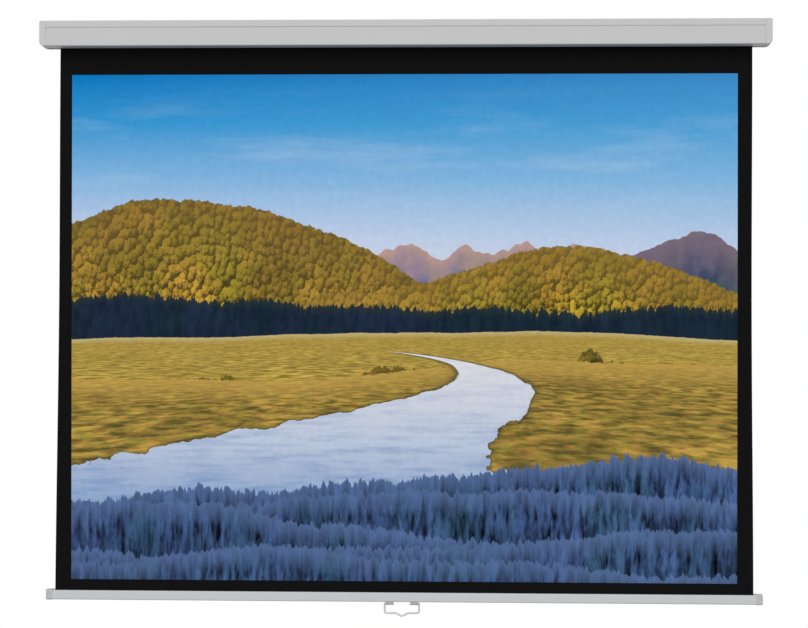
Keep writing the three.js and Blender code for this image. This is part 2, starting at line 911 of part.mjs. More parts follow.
function pawl(turn) {
  const inner = [];
  const outer = [];
  for (let i = 0; i <= bendSteps; i++) {
    const share = i / bendSteps;
    const reach = quarterTurn - pawlPivotDegrees;
    inner.push(polar(pawlInnerRadius, pawlPivotDegrees + (reach - pawlNeckDegrees) * share, turn));
    const outerReach = (reach + pawlNeckDegrees) * share;
    outer.push(polar(pawlOuterRadius, quarterTurn + pawlNeckDegrees - outerReach, turn));
  }
  const tooth = [
    polar(pawlToothRadius, quarterTurn - pawlToothDegrees, turn),
    polar(pawlToothRadius, quarterTurn + pawlToothDegrees, turn),
  ];
  const end = ratchetX + ratchetThickness;
  const arm = prism("x", [...inner, ...tooth, ...outer], ratchetX, end);
  const pivot = pawlPivot(turn);
  const boss = prism("x", circle(...pivot, pawlBossRadius, smallSteps), ratchetX, end);
  const bore = circle(...pivot, pawlPinRadius + runningFit, smallSteps);
  return carved(solid(arm).add(solid(boss)), prism("x", bore, ratchetX - overrun, end + overrun));
}

function pawlPinStart() {
  return tubeHalf + plugFlange - pawlPinInPlug;
}

function pawlPinHole(turn) {
  const bore = circle(...pawlPivot(turn), pawlPinRadius + runningFit, smallSteps);
  return prism("x", bore, pawlPinStart() - runningFit, tubeHalf + plugFlange + overrun);
}

function pawlPin(turn) {
  const length = ratchetX + ratchetThickness + springEndGap - pawlPinStart();
  const profile = [
    [0, 0],
    [0, pawlPinRadius],
    [length, pawlPinRadius],
    [length, pawlPinHeadRadius],
    [length + pawlPinHead, pawlPinHeadRadius],
    [length + pawlPinHead, 0],
  ];
  return turned(profile, 1, pawlPinStart(), ...pawlPivot(turn), smallSteps);
}

// Clip: an open ring in a groove of the shaft, which keeps the ratchet in place
function shaftClip() {
  const half = Math.asin(clipMouth / 2 / clipOuterRadius);
  const innerHalf = Math.asin(clipMouth / 2 / clipInnerRadius);
  const outer = arc(axisY, axisZ, clipOuterRadius, half, 2 * Math.PI - half, smallSteps);
  const inner = arc(axisY, axisZ, clipInnerRadius, 2 * Math.PI - innerHalf, innerHalf, smallSteps);
  return prism("x", [...outer, ...inner], clipX, clipX + clipThickness);
}

// Fabric: a sheet drawn in a little at mid-height, and a hem round a rod inside the bar
function screenFabric() {
  const top = axisZ - sheetEndGap;
  const bottom = sheetEndZ + sheetEndGap;
  const edge = [];
  for (let i = 0; i <= waistSteps; i++) {
    const share = i / waistSteps;
    const inset = fabricWaist * Math.sin(Math.PI * share) ** 2;
    edge.push([fabricWidth / 2 - inset, top + (bottom - top) * share]);
  }
  const otherEdge = edge.map(([x, z]) => [-x, z]).reverse();
  const half = fabricThickness / 2;
  return prism("y", [...edge, ...otherEdge], fabricY - half, fabricY + half);
}

function fabricHem() {
  const inner = circle(fabricY, hemZ, hemRodRadius + hemRodFit, smallSteps);
  const loop = prism(
    "x",
    circle(fabricY, hemZ, hemRadius, smallSteps),
    -fabricWidth / 2,
    fabricWidth / 2,
    [inner],
  );
  const neckFoot = hemZ + hemRodRadius + hemRodFit + fabricThickness / 2;
  const neck = prism(
    "x",
    box2(fabricY - fabricThickness, fabricY + fabricThickness, neckFoot, sheetEndZ),
    -fabricWidth / 2,
    fabricWidth / 2,
  );
  return solid(loop).add(solid(neck));
}

function hemRod() {
  const outline = circle(fabricY, hemZ, hemRodRadius, smallSteps);
  return prism("x", outline, -fabricWidth / 2, fabricWidth / 2);
}

// Bar: an extrusion open along its top, with a low flange behind the fabric
function barOutline() {
  const slot = barSlotWidth / 2;
  const inside = barCorner - barWall;
  return filleted(
    [
      [fabricY - slot, lipZ],
      [barFrontY, lipZ, barCorner],
      [barFrontY, barUnderZ, barCorner],
      [barBackY, barUnderZ, barCorner],
      [barBackY, lipZ + barFlangeRise, barWall / 2],
      [barBackY - barWall, lipZ + barFlangeRise],
      [barBackY - barWall, lipZ],
      [fabricY + slot, lipZ],
      [fabricY + slot, lipZ - barWall],
      [barBackY - barWall, lipZ - barWall],
      [barBackY - barWall, barUnderZ + barWall, inside],
      [barFrontY + barWall, barUnderZ + barWall, inside],
      [barFrontY + barWall, lipZ - barWall, inside],
      [fabricY - slot, lipZ - barWall],
    ],
    true,
  );
}

function bottomBar() {
  const bar = solid(prism("x", barOutline(), -barHalf, barHalf));
  const holes = lugScrewPlaces().map(({ x }) => {
    const bore = circle(x, fabricY, lugScrewRadius + lugScrewFit, smallSteps);
    return prism("z", bore, barUnderZ - overrun, barUnderZ + barWall + overrun);
  });
  return carved(bar, ...holes);
}

function barEndCap(sign) {
  const margin = barCapMargin;
  const section = box2(
    barFrontY - margin,
    barBackY + margin,
    barUnderZ - margin,
    lipZ + barFlangeRise,
    barCapCorner,
  );
  const length = sign * barEnd;
  const block = prism("x", section, sign * barHalf, length);
  const outline = filleted(
    [
      [sign * (barHalf - overrun), lipZ + barFlangeRise],
      [length, lipZ + barFlangeRise, barCapCorner],
      [length, barUnderZ - margin, barCapCorner],
      [sign * (barHalf - overrun), barUnderZ - margin],
    ],
    true,
  );
  const rounding = prism("y", outline, barFrontY - margin, barBackY + margin);
  const gap = barWall + barCapPlugFit;
  const plugSection = box2(
    barFrontY + gap,
    barBackY - gap,
    barUnderZ + gap,
    barUnderZ + gap + barCapPlugHeight,
    barCorner - barWall,
  );
  const start = sign * (barHalf - barCapPlugLength);
  const tongue = prism("x", plugSection, start, sign * (barHalf + overrun));
  return solid(block).intersect(solid(rounding)).add(solid(tongue));
}

// Handle: a wire bail with a dip in the middle, its ends turned into two lugs under the bar
function lugScrewPlaces() {
  return Object.entries(sides).map(([side, sign]) => ({
    side,
    x: sign * (lugFromCentre + lugScrewFromInner),
  }));
}

function handleLug(sign) {
  const half = lugDepth / 2;
  const foot = barUnderZ - lugHeight;
  const section = filleted(
    [
      [fabricY - half, barUnderZ],
      [fabricY - half, foot, half * lugRoundShare],
      [fabricY + half, foot, half * lugRoundShare],
      [fabricY + half, barUnderZ],
    ],
    true,
  );
  const inner = sign * lugFromCentre;
  const outer = sign * (lugFromCentre + lugLength);
  const bore = circle(fabricY, pivotZ, handleRodRadius + lugBoreFit, smallSteps);
  const x = sign * (lugFromCentre + lugScrewFromInner);
  const screwBore = circle(x, fabricY, lugScrewRadius + lugScrewFit, smallSteps);
  const headBore = circle(x, fabricY, lugScrewHeadRadius + lugScrewFit, smallSteps);
  return carved(
    solid(prism("x", section, inner, outer)),
    prism("x", bore, outer - sign * lugBoreDepth, outer + sign * overrun),
    prism("z", screwBore, foot - overrun, barUnderZ + overrun),
    prism("z", headBore, foot - overrun, foot + lugScrewHeadHeight + lugScrewFit),
  );
}

function lugScrew(x) {
  const length = lugHeight - lugScrewHeadHeight - lugScrewFit + barWall + lugScrewPastWall;
  const profile = [
    [0, 0],
    [0, lugScrewRadius],
    [length, lugScrewRadius],
    [length, lugScrewHeadRadius],
    [length + lugScrewHeadHeight, lugScrewHeadRadius],
    [length + lugScrewHeadHeight, 0],
  ];
  const piece = turned(profile, 1, 0, 0, 0, smallSteps);
  piece.rotateY(Math.PI / 2);
  return piece.translate(x, fabricY, barUnderZ + barWall + lugScrewPastWall);
}

function handlePath() {
  const leg = lugFromCentre + lugLength + handleSideGap + handleRodRadius;
  const low = pivotZ - handleDrop;
  const endX = lugFromCentre + lugLength - lugBoreDepth + handleEndGap;
  const half = [
    [endX, pivotZ],
    [leg, pivotZ, handleBend * pivotBendShare],
    [leg, low, handleBend],
    [dipHalfWidth, low, dipBend],
  ];
  const mirrored = half.map(([x, z, radius]) => [-x, z, radius]).reverse();
  const corners = [...half, [0, low - dipDepth, dipBend], ...mirrored];
  return filleted(corners, false).map(([x, z]) => new THREE.Vector3(x, fabricY, z));
}

function pullHandle() {
  return rodAlong(handlePath(), handleRodRadius, rodSides);
}

// The assembly, one group for each body that moves on its own
function addCase() {
  const group = new THREE.Group();
  place(group, "case_rear_shell", rearShell(), "caseGrey");
  place(group, "case_front_cover", frontCover(), "caseGrey");
  place(group, "bearing_plate_left", bearingPlate(sides.left, bushHole()), "zinc");
  place(group, "bearing_plate_right", bearingPlate(sides.right, tangHole()), "zinc");
  place(group, "gudgeon_bush", gudgeonBush(), "bronze");
  for (const [side, sign] of Object.entries(sides)) {
    place(group, `end_cap_${side}`, endCap(sign), "capGrey");
    place(group, `hanger_${side}`, hanger(sign), "zinc");
    for (const { name, z } of capScrewPlaces()) {
      place(group, `cap_screw_${side}_${name}`, capScrew(sign, z), "zinc");
    }
  }
  for (const spot of rivetPlaces()) {
    place(group, `hanger_rivet_${spot.name}`, rivet(spot), "zinc");
  }
  screen.add(group);
}

function addSpringEnd() {
  const group = new THREE.Group();
  place(group, "spring_shaft", springShaft(), "steel");
  place(group, "spring_anchor", springAnchor(), "steel");
  place(group, "torsion_spring", torsionSpring(), "springSteel");
  place(group, "ratchet_disc", ratchetDisc(), "steel");
  place(group, "shaft_clip", shaftClip(), "springSteel");
  screen.add(group);
}

const pawlTurns = { upper: 0, lower: 180 };

function addRoller() {
  const group = new THREE.Group();
  const pinHoles = Object.values(pawlTurns).map(pawlPinHole);
  place(group, "roller_tube", rollerTube(), "zinc");
  place(group, "fabric_spline", fabricSpline(), "plugWhite");
  place(group, "fabric_wraps", fabricWraps(), "fabricBlack");
  place(group, "idle_plug", plug(sides.left, gudgeonRadius), "plugWhite");
  place(group, "gudgeon_pin", gudgeonPin(), "brightSteel");
  place(group, "spring_plug", plug(sides.right, springPlugBore, pinHoles), "plugWhite");
  place(group, "shaft_bush", shaftBush(), "bronze");
  place(group, "support_disc", supportDisc(), "plugWhite");
  for (const [name, turn] of Object.entries(pawlTurns)) {
    place(group, `pawl_pin_${name}`, pawlPin(turn), "brightSteel");
    place(group, `pawl_${name}`, pawl(turn), "steel");
  }
  screen.add(group);
}

function addBar() {
  const group = new THREE.Group();
  place(group, "screen_fabric", screenFabric(), "screenWhite");
  place(group, "fabric_hem", fabricHem(), "fabricBlack");
  place(group, "hem_rod", hemRod(), "steel");
  place(group, "bottom_bar", bottomBar(), "barGrey");
  for (const [side, sign] of Object.entries(sides)) {
    place(group, `bar_end_cap_${side}`, barEndCap(sign), "barCapGrey");
    place(group, `handle_lug_${side}`, handleLug(sign), "barCapGrey");
  }
  for (const { side, x } of lugScrewPlaces()) {
    place(group, `lug_screw_${side}`, lugScrew(x), "zinc");
  }
  place(group, "pull_handle", pullHandle(), "handleCoat");
  screen.add(group);
}

addCase();
addSpringEnd();
addRoller();
addBar();

export default screen;
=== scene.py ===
import math
from functools import partial

import bmesh
import bpy
from mathutils import Matrix, Vector


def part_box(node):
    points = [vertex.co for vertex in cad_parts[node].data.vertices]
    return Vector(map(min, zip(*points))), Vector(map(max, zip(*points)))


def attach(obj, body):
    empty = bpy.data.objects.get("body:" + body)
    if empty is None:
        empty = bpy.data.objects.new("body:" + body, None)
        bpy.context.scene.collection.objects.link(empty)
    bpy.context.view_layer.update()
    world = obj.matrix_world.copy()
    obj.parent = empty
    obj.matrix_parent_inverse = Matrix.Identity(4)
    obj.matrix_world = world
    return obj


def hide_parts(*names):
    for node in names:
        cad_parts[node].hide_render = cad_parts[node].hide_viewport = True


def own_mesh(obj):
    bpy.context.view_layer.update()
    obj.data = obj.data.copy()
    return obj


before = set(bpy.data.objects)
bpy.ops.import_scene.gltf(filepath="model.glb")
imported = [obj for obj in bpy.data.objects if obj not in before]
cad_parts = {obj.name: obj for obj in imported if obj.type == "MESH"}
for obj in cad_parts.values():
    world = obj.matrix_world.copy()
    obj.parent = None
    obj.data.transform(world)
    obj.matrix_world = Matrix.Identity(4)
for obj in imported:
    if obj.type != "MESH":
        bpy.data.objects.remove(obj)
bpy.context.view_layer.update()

# A pull down projector screen on a wall: metres, X along the case, Y into the wall, Z up.
mm = 0.001
sides = {"left": -1, "right": 1}
axes = {"x": (0, 1, 2), "y": (1, 0, 2), "z": (2, 0, 1)}  # an axis, and the two that a section is drawn on

# What the hand tools share: how near is the same place, when points merge and how far a cutter overruns
work = {
    "samePlace": 0.02 * mm,
    "mergeFirst": 0.03 * mm,
    "mergeLast": 0.003 * mm,
    "overrun": 1 * mm,
    "sharpAngle": math.radians(35),
}


# Hand tools, shared by every piece
def focus(piece):
    bpy.ops.object.select_all(action="DESELECT")
    piece.select_set(True)
    bpy.context.view_layer.objects.active = piece


def newPiece(name):
    # the primitive just added gets its name, and its place goes into its mesh
    piece = bpy.context.object
    piece.name = piece.data.name = name
    focus(piece)
    bpy.ops.object.transform_apply(location=True, rotation=True, scale=True)
    return piece


def editing(piece, isOn=True):
    if isOn:
        focus(piece)
    bpy.ops.object.mode_set(mode="EDIT" if isOn else "OBJECT")


def selectAll(kind=None):
    if kind:
        bpy.ops.mesh.select_mode(type=kind)
    bpy.ops.mesh.select_all(action="SELECT")


def pick(piece, kind, test):
    # in edit mode: selects the vertices, edges or faces that pass the test
    bpy.ops.mesh.select_mode(type=kind)
    bpy.ops.mesh.select_all(action="DESELECT")
    mesh = bmesh.from_edit_mesh(piece.data)
    mesh.normal_update()
    for part in {"VERT": mesh.verts, "EDGE": mesh.edges, "FACE": mesh.faces}[kind]:
        if test(part):
            part.select_set(True)
    mesh.select_flush_mode()
    bmesh.update_edit_mesh(piece.data)


def near(a, b):
    return abs(a - b) < work["samePlace"]


def middle(edge):
    return (edge.verts[0].co + edge.verts[1].co) / 2


def runsAlong(edge, axis):
    way = edge.verts[1].co - edge.verts[0].co
    return abs(way[axis]) > 0.999 * way.length


def liesAt(edge, axis, value):
    return all(near(vert.co[axis], value) for vert in edge.verts)


def longEdgesAt(along, corner):
    # a test for the edges along an axis that pass through a corner of the section across it
    axis, first, second = axes[along]

    def test(edge):
        place = middle(edge)
        return runsAlong(edge, axis) and near(place[first], corner[0]) and near(place[second], corner[1])

    return test


def centreOf(node, **moved):
    # the middle of a frame node, with any coordinates given instead
    low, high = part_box(node)
    place = (low + high) / 2
    for axis, value in moved.items():
        setattr(place, axis, value)
    return place


def outwards(sign, low, high):
    # the inner and the outer end of a piece that belongs to the left or the right
    return (low.x, high.x) if sign > 0 else (high.x, low.x)


def modify(piece, kind, **settings):
    change = piece.modifiers.new("change", kind)
    for name, value in settings.items():
        setattr(change, name, value)
    focus(piece)
    bpy.ops.object.modifier_apply(modifier=change.name)


def roundEdges(piece, test, radius, segments=6):
    editing(piece)
    pick(piece, "EDGE", test)
    bpy.ops.mesh.bevel(offset=radius, offset_type="OFFSET", segments=segments, affect="EDGES")
    editing(piece, False)


def pull(way, extrude=bpy.ops.mesh.extrude_region_move):
    extrude(TRANSFORM_OT_translate={"value": way})


def cube(name, corner, opposite):
    low, high = (Vector(map(end, corner, opposite)) for end in (min, max))
    bpy.ops.mesh.primitive_cube_add(size=1, location=(low + high) / 2, scale=high - low)
    return newPiece(name)


def cylinder(name, axis, centre, radius, depth, vertices=48):
    turn = {"x": (0, math.pi / 2, 0), "y": (-math.pi / 2, 0, 0), "z": (0, 0, 0)}[axis]
    bpy.ops.mesh.primitive_cylinder_add(
        vertices=vertices, radius=radius, depth=depth, location=centre, rotation=turn
    )
    return newPiece(name)


def combine(piece, tool, operation="DIFFERENCE"):
    modify(piece, "BOOLEAN", operation=operation, solver="EXACT", object=tool)
    bpy.data.objects.remove(tool)


def drill(piece, axis, centre, radius, depth, vertices=24):
    combine(piece, cylinder("drill", axis, centre, radius, depth, vertices))


def mergePoints(piece, reach):
    editing(piece)
    selectAll()
    bpy.ops.mesh.remove_doubles(threshold=reach)
    editing(piece, False)


def smooth(piece, width=0.0, segments=2):
    # softens the sharp edges and smooths the round ones
    sharp = work["sharpAngle"]
    if width:
        mergePoints(piece, work["mergeFirst"])
        modify(piece, "BEVEL", width=width, segments=segments, limit_method="ANGLE", angle_limit=sharp)
        mergePoints(piece, work["mergeLast"])
    focus(piece)
    bpy.ops.object.shade_smooth_by_angle(angle=sharp)
    modify(piece, "WEIGHTED_NORMAL", keep_sharp=True)


def install(piece, body, node, slot, edge=None, segments=2):
    # the piece takes the place of a frame node, after its edges are finished if that is still to do
    if edge is not None:
        smooth(piece, edge, segments)
    piece.data.materials.clear()
    piece.data.materials.append(materials[slot])
    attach(piece, body)
    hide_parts(node)


def placeCopies(pattern, body, name, node, ends, locate):
    # a copy with its own mesh for each side and end; locate gives its place, its turn and the turn's axis
    for side, sign in sides.items():
        for end in ends:
            replaced = f"{node}_{side}{end}"
            place, turn, axis = locate(replaced, sign)
            focus(pattern)
            bpy.ops.object.duplicate(linked=False)
            copy = bpy.context.object
            copy.name = copy.data.name = f"{name}-{side}{end}".replace("_", "-")
            copy.data.transform(Matrix.Translation(place) @ Matrix.Rotation(turn, 4, axis))
            install(copy, body, replaced, "zinc_steel")
    bpy.data.objects.remove(pattern)


def onSection(along, u, v):
    # a point of a section that is drawn across x, y or z
    point = Vector((0, 0, 0))
    point[axes[along][1]], point[axes[along][2]] = u, v
    return point


def chain(name, along, start, corners):
    # a single vertex, pulled from corner to corner
    lengthwise = Vector((0, 0, 0))
    lengthwise[axes[along][0]] = 1
    first = lengthwise * start + onSection(along, *corners[0][:2])
    bpy.ops.mesh.primitive_plane_add(size=mm, location=first)
    piece = newPiece(name)
    editing(piece)
    selectAll("VERT")
    bpy.ops.mesh.merge(type="CENTER")
    for before, after in zip(corners, corners[1:]):
        step = onSection(along, after[0] - before[0], after[1] - before[1])
        pull(step, bpy.ops.mesh.extrude_vertices_move)
    selectAll("EDGE")
    return piece, lengthwise


def foldedSheet(name, along, span, corners, thickness, offset=-1, segments=6):
    # a strip pulled out of a bent line, whose corners may give a bend radius, thickened to its left
    piece, lengthwise = chain(name, along, span[0], corners)
    pull(lengthwise * (span[1] - span[0]), bpy.ops.mesh.extrude_edges_move)
    selectAll()
    bpy.ops.mesh.normals_make_consistent(inside=False)
    wall = onSection(along, corners[1][0] - corners[0][0], corners[1][1] - corners[0][1])
    aim = onSection(along, *corners[0][:2]) + wall / 2 + lengthwise * (span[0] + span[1]) / 2
    faces = bmesh.from_edit_mesh(piece.data).faces
    firstFace = min(faces, key=lambda f: (f.calc_center_median() - aim).length)
    if firstFace.normal.dot(wall.cross(lengthwise)) < 0:
        bpy.ops.mesh.flip_normals()
    editing(piece, False)
    for corner in corners[1:-1]:
        if len(corner) > 2:
            roundEdges(piece, longEdgesAt(along, corner), corner[2], segments)
    modify(piece, "SOLIDIFY", thickness=thickness, offset=offset, use_even_offset=True)
    return piece


def section(name, along, span, corners):
    # a solid bar of the drawn outline
    piece, lengthwise = chain(name, along, span[0], corners)
    pick(piece, "VERT", lambda v: len(v.link_edges) == 1)
    bpy.ops.mesh.edge_face_add()
    selectAll()
    bpy.ops.mesh.edge_face_add()
    pull(lengthwise * (span[1] - span[0]))
    selectAll()
    bpy.ops.mesh.normals_make_consistent(inside=False)
    editing(piece, False)
    return piece


# Shader tools
def setInputs(node, inputs):
    # a socket is linked to the input, and anything else becomes its value
    for name, value in inputs.items():
        if isinstance(value, bpy.types.NodeSocket):
            node.id_data.links.new(value, node.inputs[name])
        else:
            node.inputs[name].default_value = value


def addNode(kind, inputs=None, tree=None, **settings):
    # the node goes into the tree of the first socket among its inputs, unless a tree is given
    inputs = inputs or {}
    if tree is None:
        tree = next(value.id_data for value in inputs.values() if isinstance(value, bpy.types.NodeSocket))
    made = tree.nodes.new("ShaderNode" + kind)
    for name, value in settings.items():
        setattr(made, name, value)
    setInputs(made, inputs)
    return made


def calc(operation, *values, clamp=False):
    inputs = dict(enumerate(values))
    return addNode("Math", inputs, operation=operation, use_clamp=clamp).outputs[0]


times = partial(calc, "MULTIPLY")
minus = partial(calc, "SUBTRACT")
over = partial(calc, "DIVIDE")
timesPlus = partial(calc, "MULTIPLY_ADD")


def vectorCalc(operation, first, second):
    inputs = {0: first, "Scale" if operation == "SCALE" else 1: second}
    made = addNode("VectorMath", inputs, operation=operation)
    return made.outputs["Value" if operation == "DOT_PRODUCT" else "Vector"]


def remap(value, low, high, newLow=0.0, newHigh=1.0, **settings):
    inputs = {"Value": value, "From Min": low, "From Max": high, "To Min": newLow, "To Max": newHigh}
    return addNode("MapRange", inputs, **settings).outputs["Result"]


def mixValues(share, first, second):
    return addNode("Mix", {0: share, 2: first, 3: second}).outputs[0]


def mixColours(share, first, second, blend="MIX"):
    # the colour inputs of a Mix node are its seventh and eighth, and their result its third
    inputs = {0: share, 6: first, 7: second}
    return addNode("Mix", inputs, data_type="RGBA", blend_type=blend).outputs[2]


def noise(vector, scale, detail=2.0, roughness=0.5, output="Fac"):
    inputs = {"Vector": vector, "Scale": scale, "Detail": detail, "Roughness": roughness}
    return addNode("TexNoise", inputs).outputs[output]


def stretched(vector, scale):
    return addNode("Mapping", {"Vector": vector, "Scale": scale}).outputs["Vector"]


def colourRamp(share, stops):
    ramp = addNode("ValToRGB", {"Fac": share})
    elements = ramp.color_ramp.elements
    for index, (position, colour) in enumerate(stops):
        stop = elements[index] if index < 2 else elements.new(position)
        stop.position = position
        stop.color = srgb(colour)
    return ramp.outputs["Color"]


def newGroup(name, inputs, outputs):
    tree = bpy.data.node_groups.new(name, "ShaderNodeTree")
    for kind, sockets in (("INPUT", inputs), ("OUTPUT", outputs)):
        for label, value in sockets.items():
            made = tree.interface.new_socket(label, in_out=kind, socket_type="NodeSocket" + value)
            made.hide_value = value == "Vector"
    return tree.nodes.new("NodeGroupInput").outputs, tree.nodes.new("NodeGroupOutput")


def useGroup(group, inputs):
    return addNode("Group", inputs, node_tree=group).outputs


def srgb(colour):
    # a colour as it shows on a screen, from 0 to 255, for a node
    def linear(share):
        return share / 12.92 if share <= 0.04045 else ((share + 0.055) / 1.055) ** 2.4

    return tuple(linear(value / 255) for value in colour) + (1,)


def newMaterial(name):
    material = bpy.data.materials.new(name)
    material.use_nodes = True
    tree = material.node_tree
    return material, tree.nodes["Principled BSDF"], addNode("TexCoord", tree=tree).outputs["Object"]


# Effects that several finishes share
def makeGrainGroup():
    # Grain is the fine relief, Drift a slow change over the surface, both from 0 to 1
    kinds = {"Place": "Vector", "Size": "Float", "Stretch": "Vector", "Drift size": "Float"}
    given, made = newGroup("surfaceGrain", kinds, {"Grain": "Float", "Drift": "Float"})
    along = vectorCalc("MULTIPLY", given["Place"], given["Stretch"])
    fine = noise(along, over(1.0, given["Size"]), 3.0)
    slow = noise(given["Place"], over(1.0, given["Drift size"]), 3.0)
    setInputs(made, {"Grain": remap(fine, 0.25, 0.75), "Drift": remap(slow, 0.3, 0.7)})
    return made.id_data


def makeMarksGroup():
    # faint rubbed marks and dust, as a mask from 0 to 1
    kinds = {"Place": "Vector", "Spacing": "Float", "Cover": "Float"}
    given, made = newGroup("handlingMarks", kinds, {"Marks": "Float"})
    scale = over(1.0, given["Spacing"])
    patches = noise(given["Place"], scale, 4.0, 0.65)
    specks = noise(given["Place"], times(scale, 9.0))
    wide = minus(patches, times(minus(1.0, given["Cover"]), 0.62))
    setInputs(made, {"Marks": times(times(wide, 4.0, clamp=True), specks)})
    return made.id_data


def makeWeaveGroup():
    # two crossing sets of threads on a sheet that hangs in X and Z
    kinds = {"Place": "Vector", "Thread": "Float"}
    given, made = newGroup("clothWeave", kinds, {"Height": "Float", "Shade": "Float"})
    turn = over(math.pi, given["Thread"])
    apart = addNode("SeparateXYZ", {0: given["Place"]}).outputs
    threads = [calc("ABSOLUTE", calc("SINE", times(apart[axis], turn))) for axis in ("X", "Z")]
    uneven = noise(given["Place"], 60.0, 3.0)
    height = calc("MAXIMUM", *threads)
    setInputs(made, {"Height": height, "Shade": remap(uneven, 0.3, 0.7, 0.93, 1.0)})
    return made.id_data


grainGroup = makeGrainGroup()
marksGroup = makeMarksGroup()
weaveGroup = makeWeaveGroup()

# Stretch draws the grain out along x, y or z, relief is its height, and change is the drift's
finishColumns = ("colour", "roughness", "metallic", "grain", "stretch", "relief", "change", "marks")
even = (1, 1, 1)
finishes = {
    "case_paint": ((192, 192, 192), 0.46, 0.0, 1.1 * mm, even, 0.018 * mm, 0.012, 0.10),
    "cap_plastic": ((195, 195, 196), 0.55, 0.0, 0.7 * mm, even, 0.03 * mm, 0.015, 0.12),
    "bar_paint": ((196, 197, 198), 0.40, 0.0, 0.8 * mm, (0.05, 1, 1), 0.012 * mm, 0.015, 0.14),
    "bar_cap_plastic": ((184, 184, 187), 0.55, 0.0, 0.7 * mm, even, 0.03 * mm, 0.02, 0.14),
    "zinc_steel": ((186, 188, 192), 0.36, 1.0, 1.6 * mm, even, 0.01 * mm, 0.10, 0.25),
    "plain_steel": ((170, 171, 173), 0.38, 1.0, 0.5 * mm, (0.08, 1, 1), 0.01 * mm, 0.08, 0.25),
    "spring_steel": ((92, 94, 98), 0.42, 1.0, 0.5 * mm, even, 0.008 * mm, 0.12, 0.20),
    "bronze": ((160, 122, 74), 0.50, 1.0, 0.4 * mm, even, 0.02 * mm, 0.12, 0.20),
    "plug_plastic": ((224, 223, 216), 0.50, 0.0, 0.9 * mm, even, 0.015 * mm, 0.02, 0.10),
    "handle_wire": ((208, 208, 208), 0.30, 0.0, 0.6 * mm, even, 0.006 * mm, 0.03, 0.20),
}

# What all finishes share: the spacing of their changes, and how much grain and marks show
surface = {
    "driftSize": 0.3,
    "marksSpacing": 0.06,
    "speckle": 0.5,
    "marksDull": 0.25,
    "grainDull": 0.06,
}


def makeFinish(slot):
    look = dict(zip(finishColumns, finishes[slot]))
    material, shader, place = newMaterial(slot.replace("_", "-"))
    grain = useGroup(grainGroup, {
        "Place": place, "Size": look["grain"], "Stretch": look["stretch"],
        "Drift size": surface["driftSize"],
    })
    spacing = surface["marksSpacing"]
    marks = useGroup(marksGroup, {"Place": place, "Spacing": spacing, "Cover": look["marks"]})["Marks"]
    colour, change = srgb(look["colour"])[:3], look["change"]
    lighter = tuple(min(1.0, value * (1 + change)) for value in colour) + (1,)
    darker = tuple(value * (1 - change) for value in colour) + (1,)
    base = mixColours(grain["Drift"], darker, lighter)
    dull = calc("ADD", look["roughness"], times(marks, surface["marksDull"]))
    bump = addNode("Bump", {"Height": grain["Grain"], "Distance": look["relief"]})
    setInputs(shader, {
        "Base Color": mixColours(times(grain["Grain"], surface["speckle"]), base, darker),
        "Roughness": calc("ADD", dull, times(grain["Grain"], surface["grainDull"])),
        "Metallic": look["metallic"],
        "Normal": bump.outputs["Normal"],
    })
    return material


materials = {slot: makeFinish(slot) for slot in finishes}
print("finishes made:", len(materials))


# Screen artwork: a quiet valley of soft hills, fields and a river, laid out from the back to the front.
# Across and up run from 0 to 1 over the picture, and a colour is as it shows on a screen.
picture = {
    "isShown": True,
    "leftBorder": (31 * mm, 41 * mm),  # at the top and at the bottom
    "rightBorder": (37 * mm, 41 * mm),
    "bottomBorder": 25 * mm,
    "top": -118.3 * mm,
    "border": (17, 17, 18),
    "borderEdge": 0.4 * mm,
    "blank": (233, 233, 230),
    "layerEdge": 0.0015,
    "horizon": 0.5,
    "eyeHeight": 0.5,
    "nearestBelow": 0.012,
}
sky = {
    "blue": [
        (0.56, (240, 232, 234)),
        (0.67, (206, 218, 242)),
        (0.79, (136, 188, 232)),
        (0.90, (56, 156, 218)),
        (1.0, (0, 126, 200)),
    ],
    "pale": (122, 188, 230),
    "glow": 0.24,
    "cloud": (222, 232, 246),
    "cloudStretch": (1.0, 6.5, 1),
    "cloudCover": 0.4,
}
river = {
    "start": 0.452,
    "middle": 0.46,
    "swing": 0.17,
    "bends": 11.5,
    "bank": 0.022,
    "water": [(0.0, (232, 232, 236)), (0.5, (196, 208, 230)), (1.0, (112, 152, 202))],
    "ripple": (100, 140, 194),
    "bankColour": (52, 56, 40),
}

# The upper edge of each layer, in shares of the picture's height and width: a broad crest on a given
# height, a slow swing and the fuzz of its treetops
ridgeValues = ("Height", "Crest", "Crest width", "Crest rise", "Swing", "Scale", "Seed", "Fuzz")
ridges = {
    "farRidge": (0.618, 0.62, 0.30, 0.030, 0.072, 6.5, 5.0, 0.002),
    "blueRidge": (0.575, 0.93, 0.20, 0.085, 0.060, 5.0, 9.0, 0.003),
    "leftHill": (0.560, 0.17, 0.27, 0.215, 0.038, 3.4, 17.0, 0.006),
    "rightHill": (0.540, 0.74, 0.22, 0.120, 0.030, 4.0, 23.0, 0.007),
    "treeLine": (0.535, 0.08, 0.30, 0.022, 0.014, 6.0, 31.0, 0.017),
    "farField": (0.472, 0.62, 0.40, 0.018, 0.012, 2.2, 37.0, 0.001),
    "copse": (0.390, 0.80, 0.34, 0.040, 0.085, 5.5, 71.0, 0.009),
    "nearField": (0.395, 0.80, 0.34, 0.040, 0.018, 2.0, 43.0, 0.004),
}

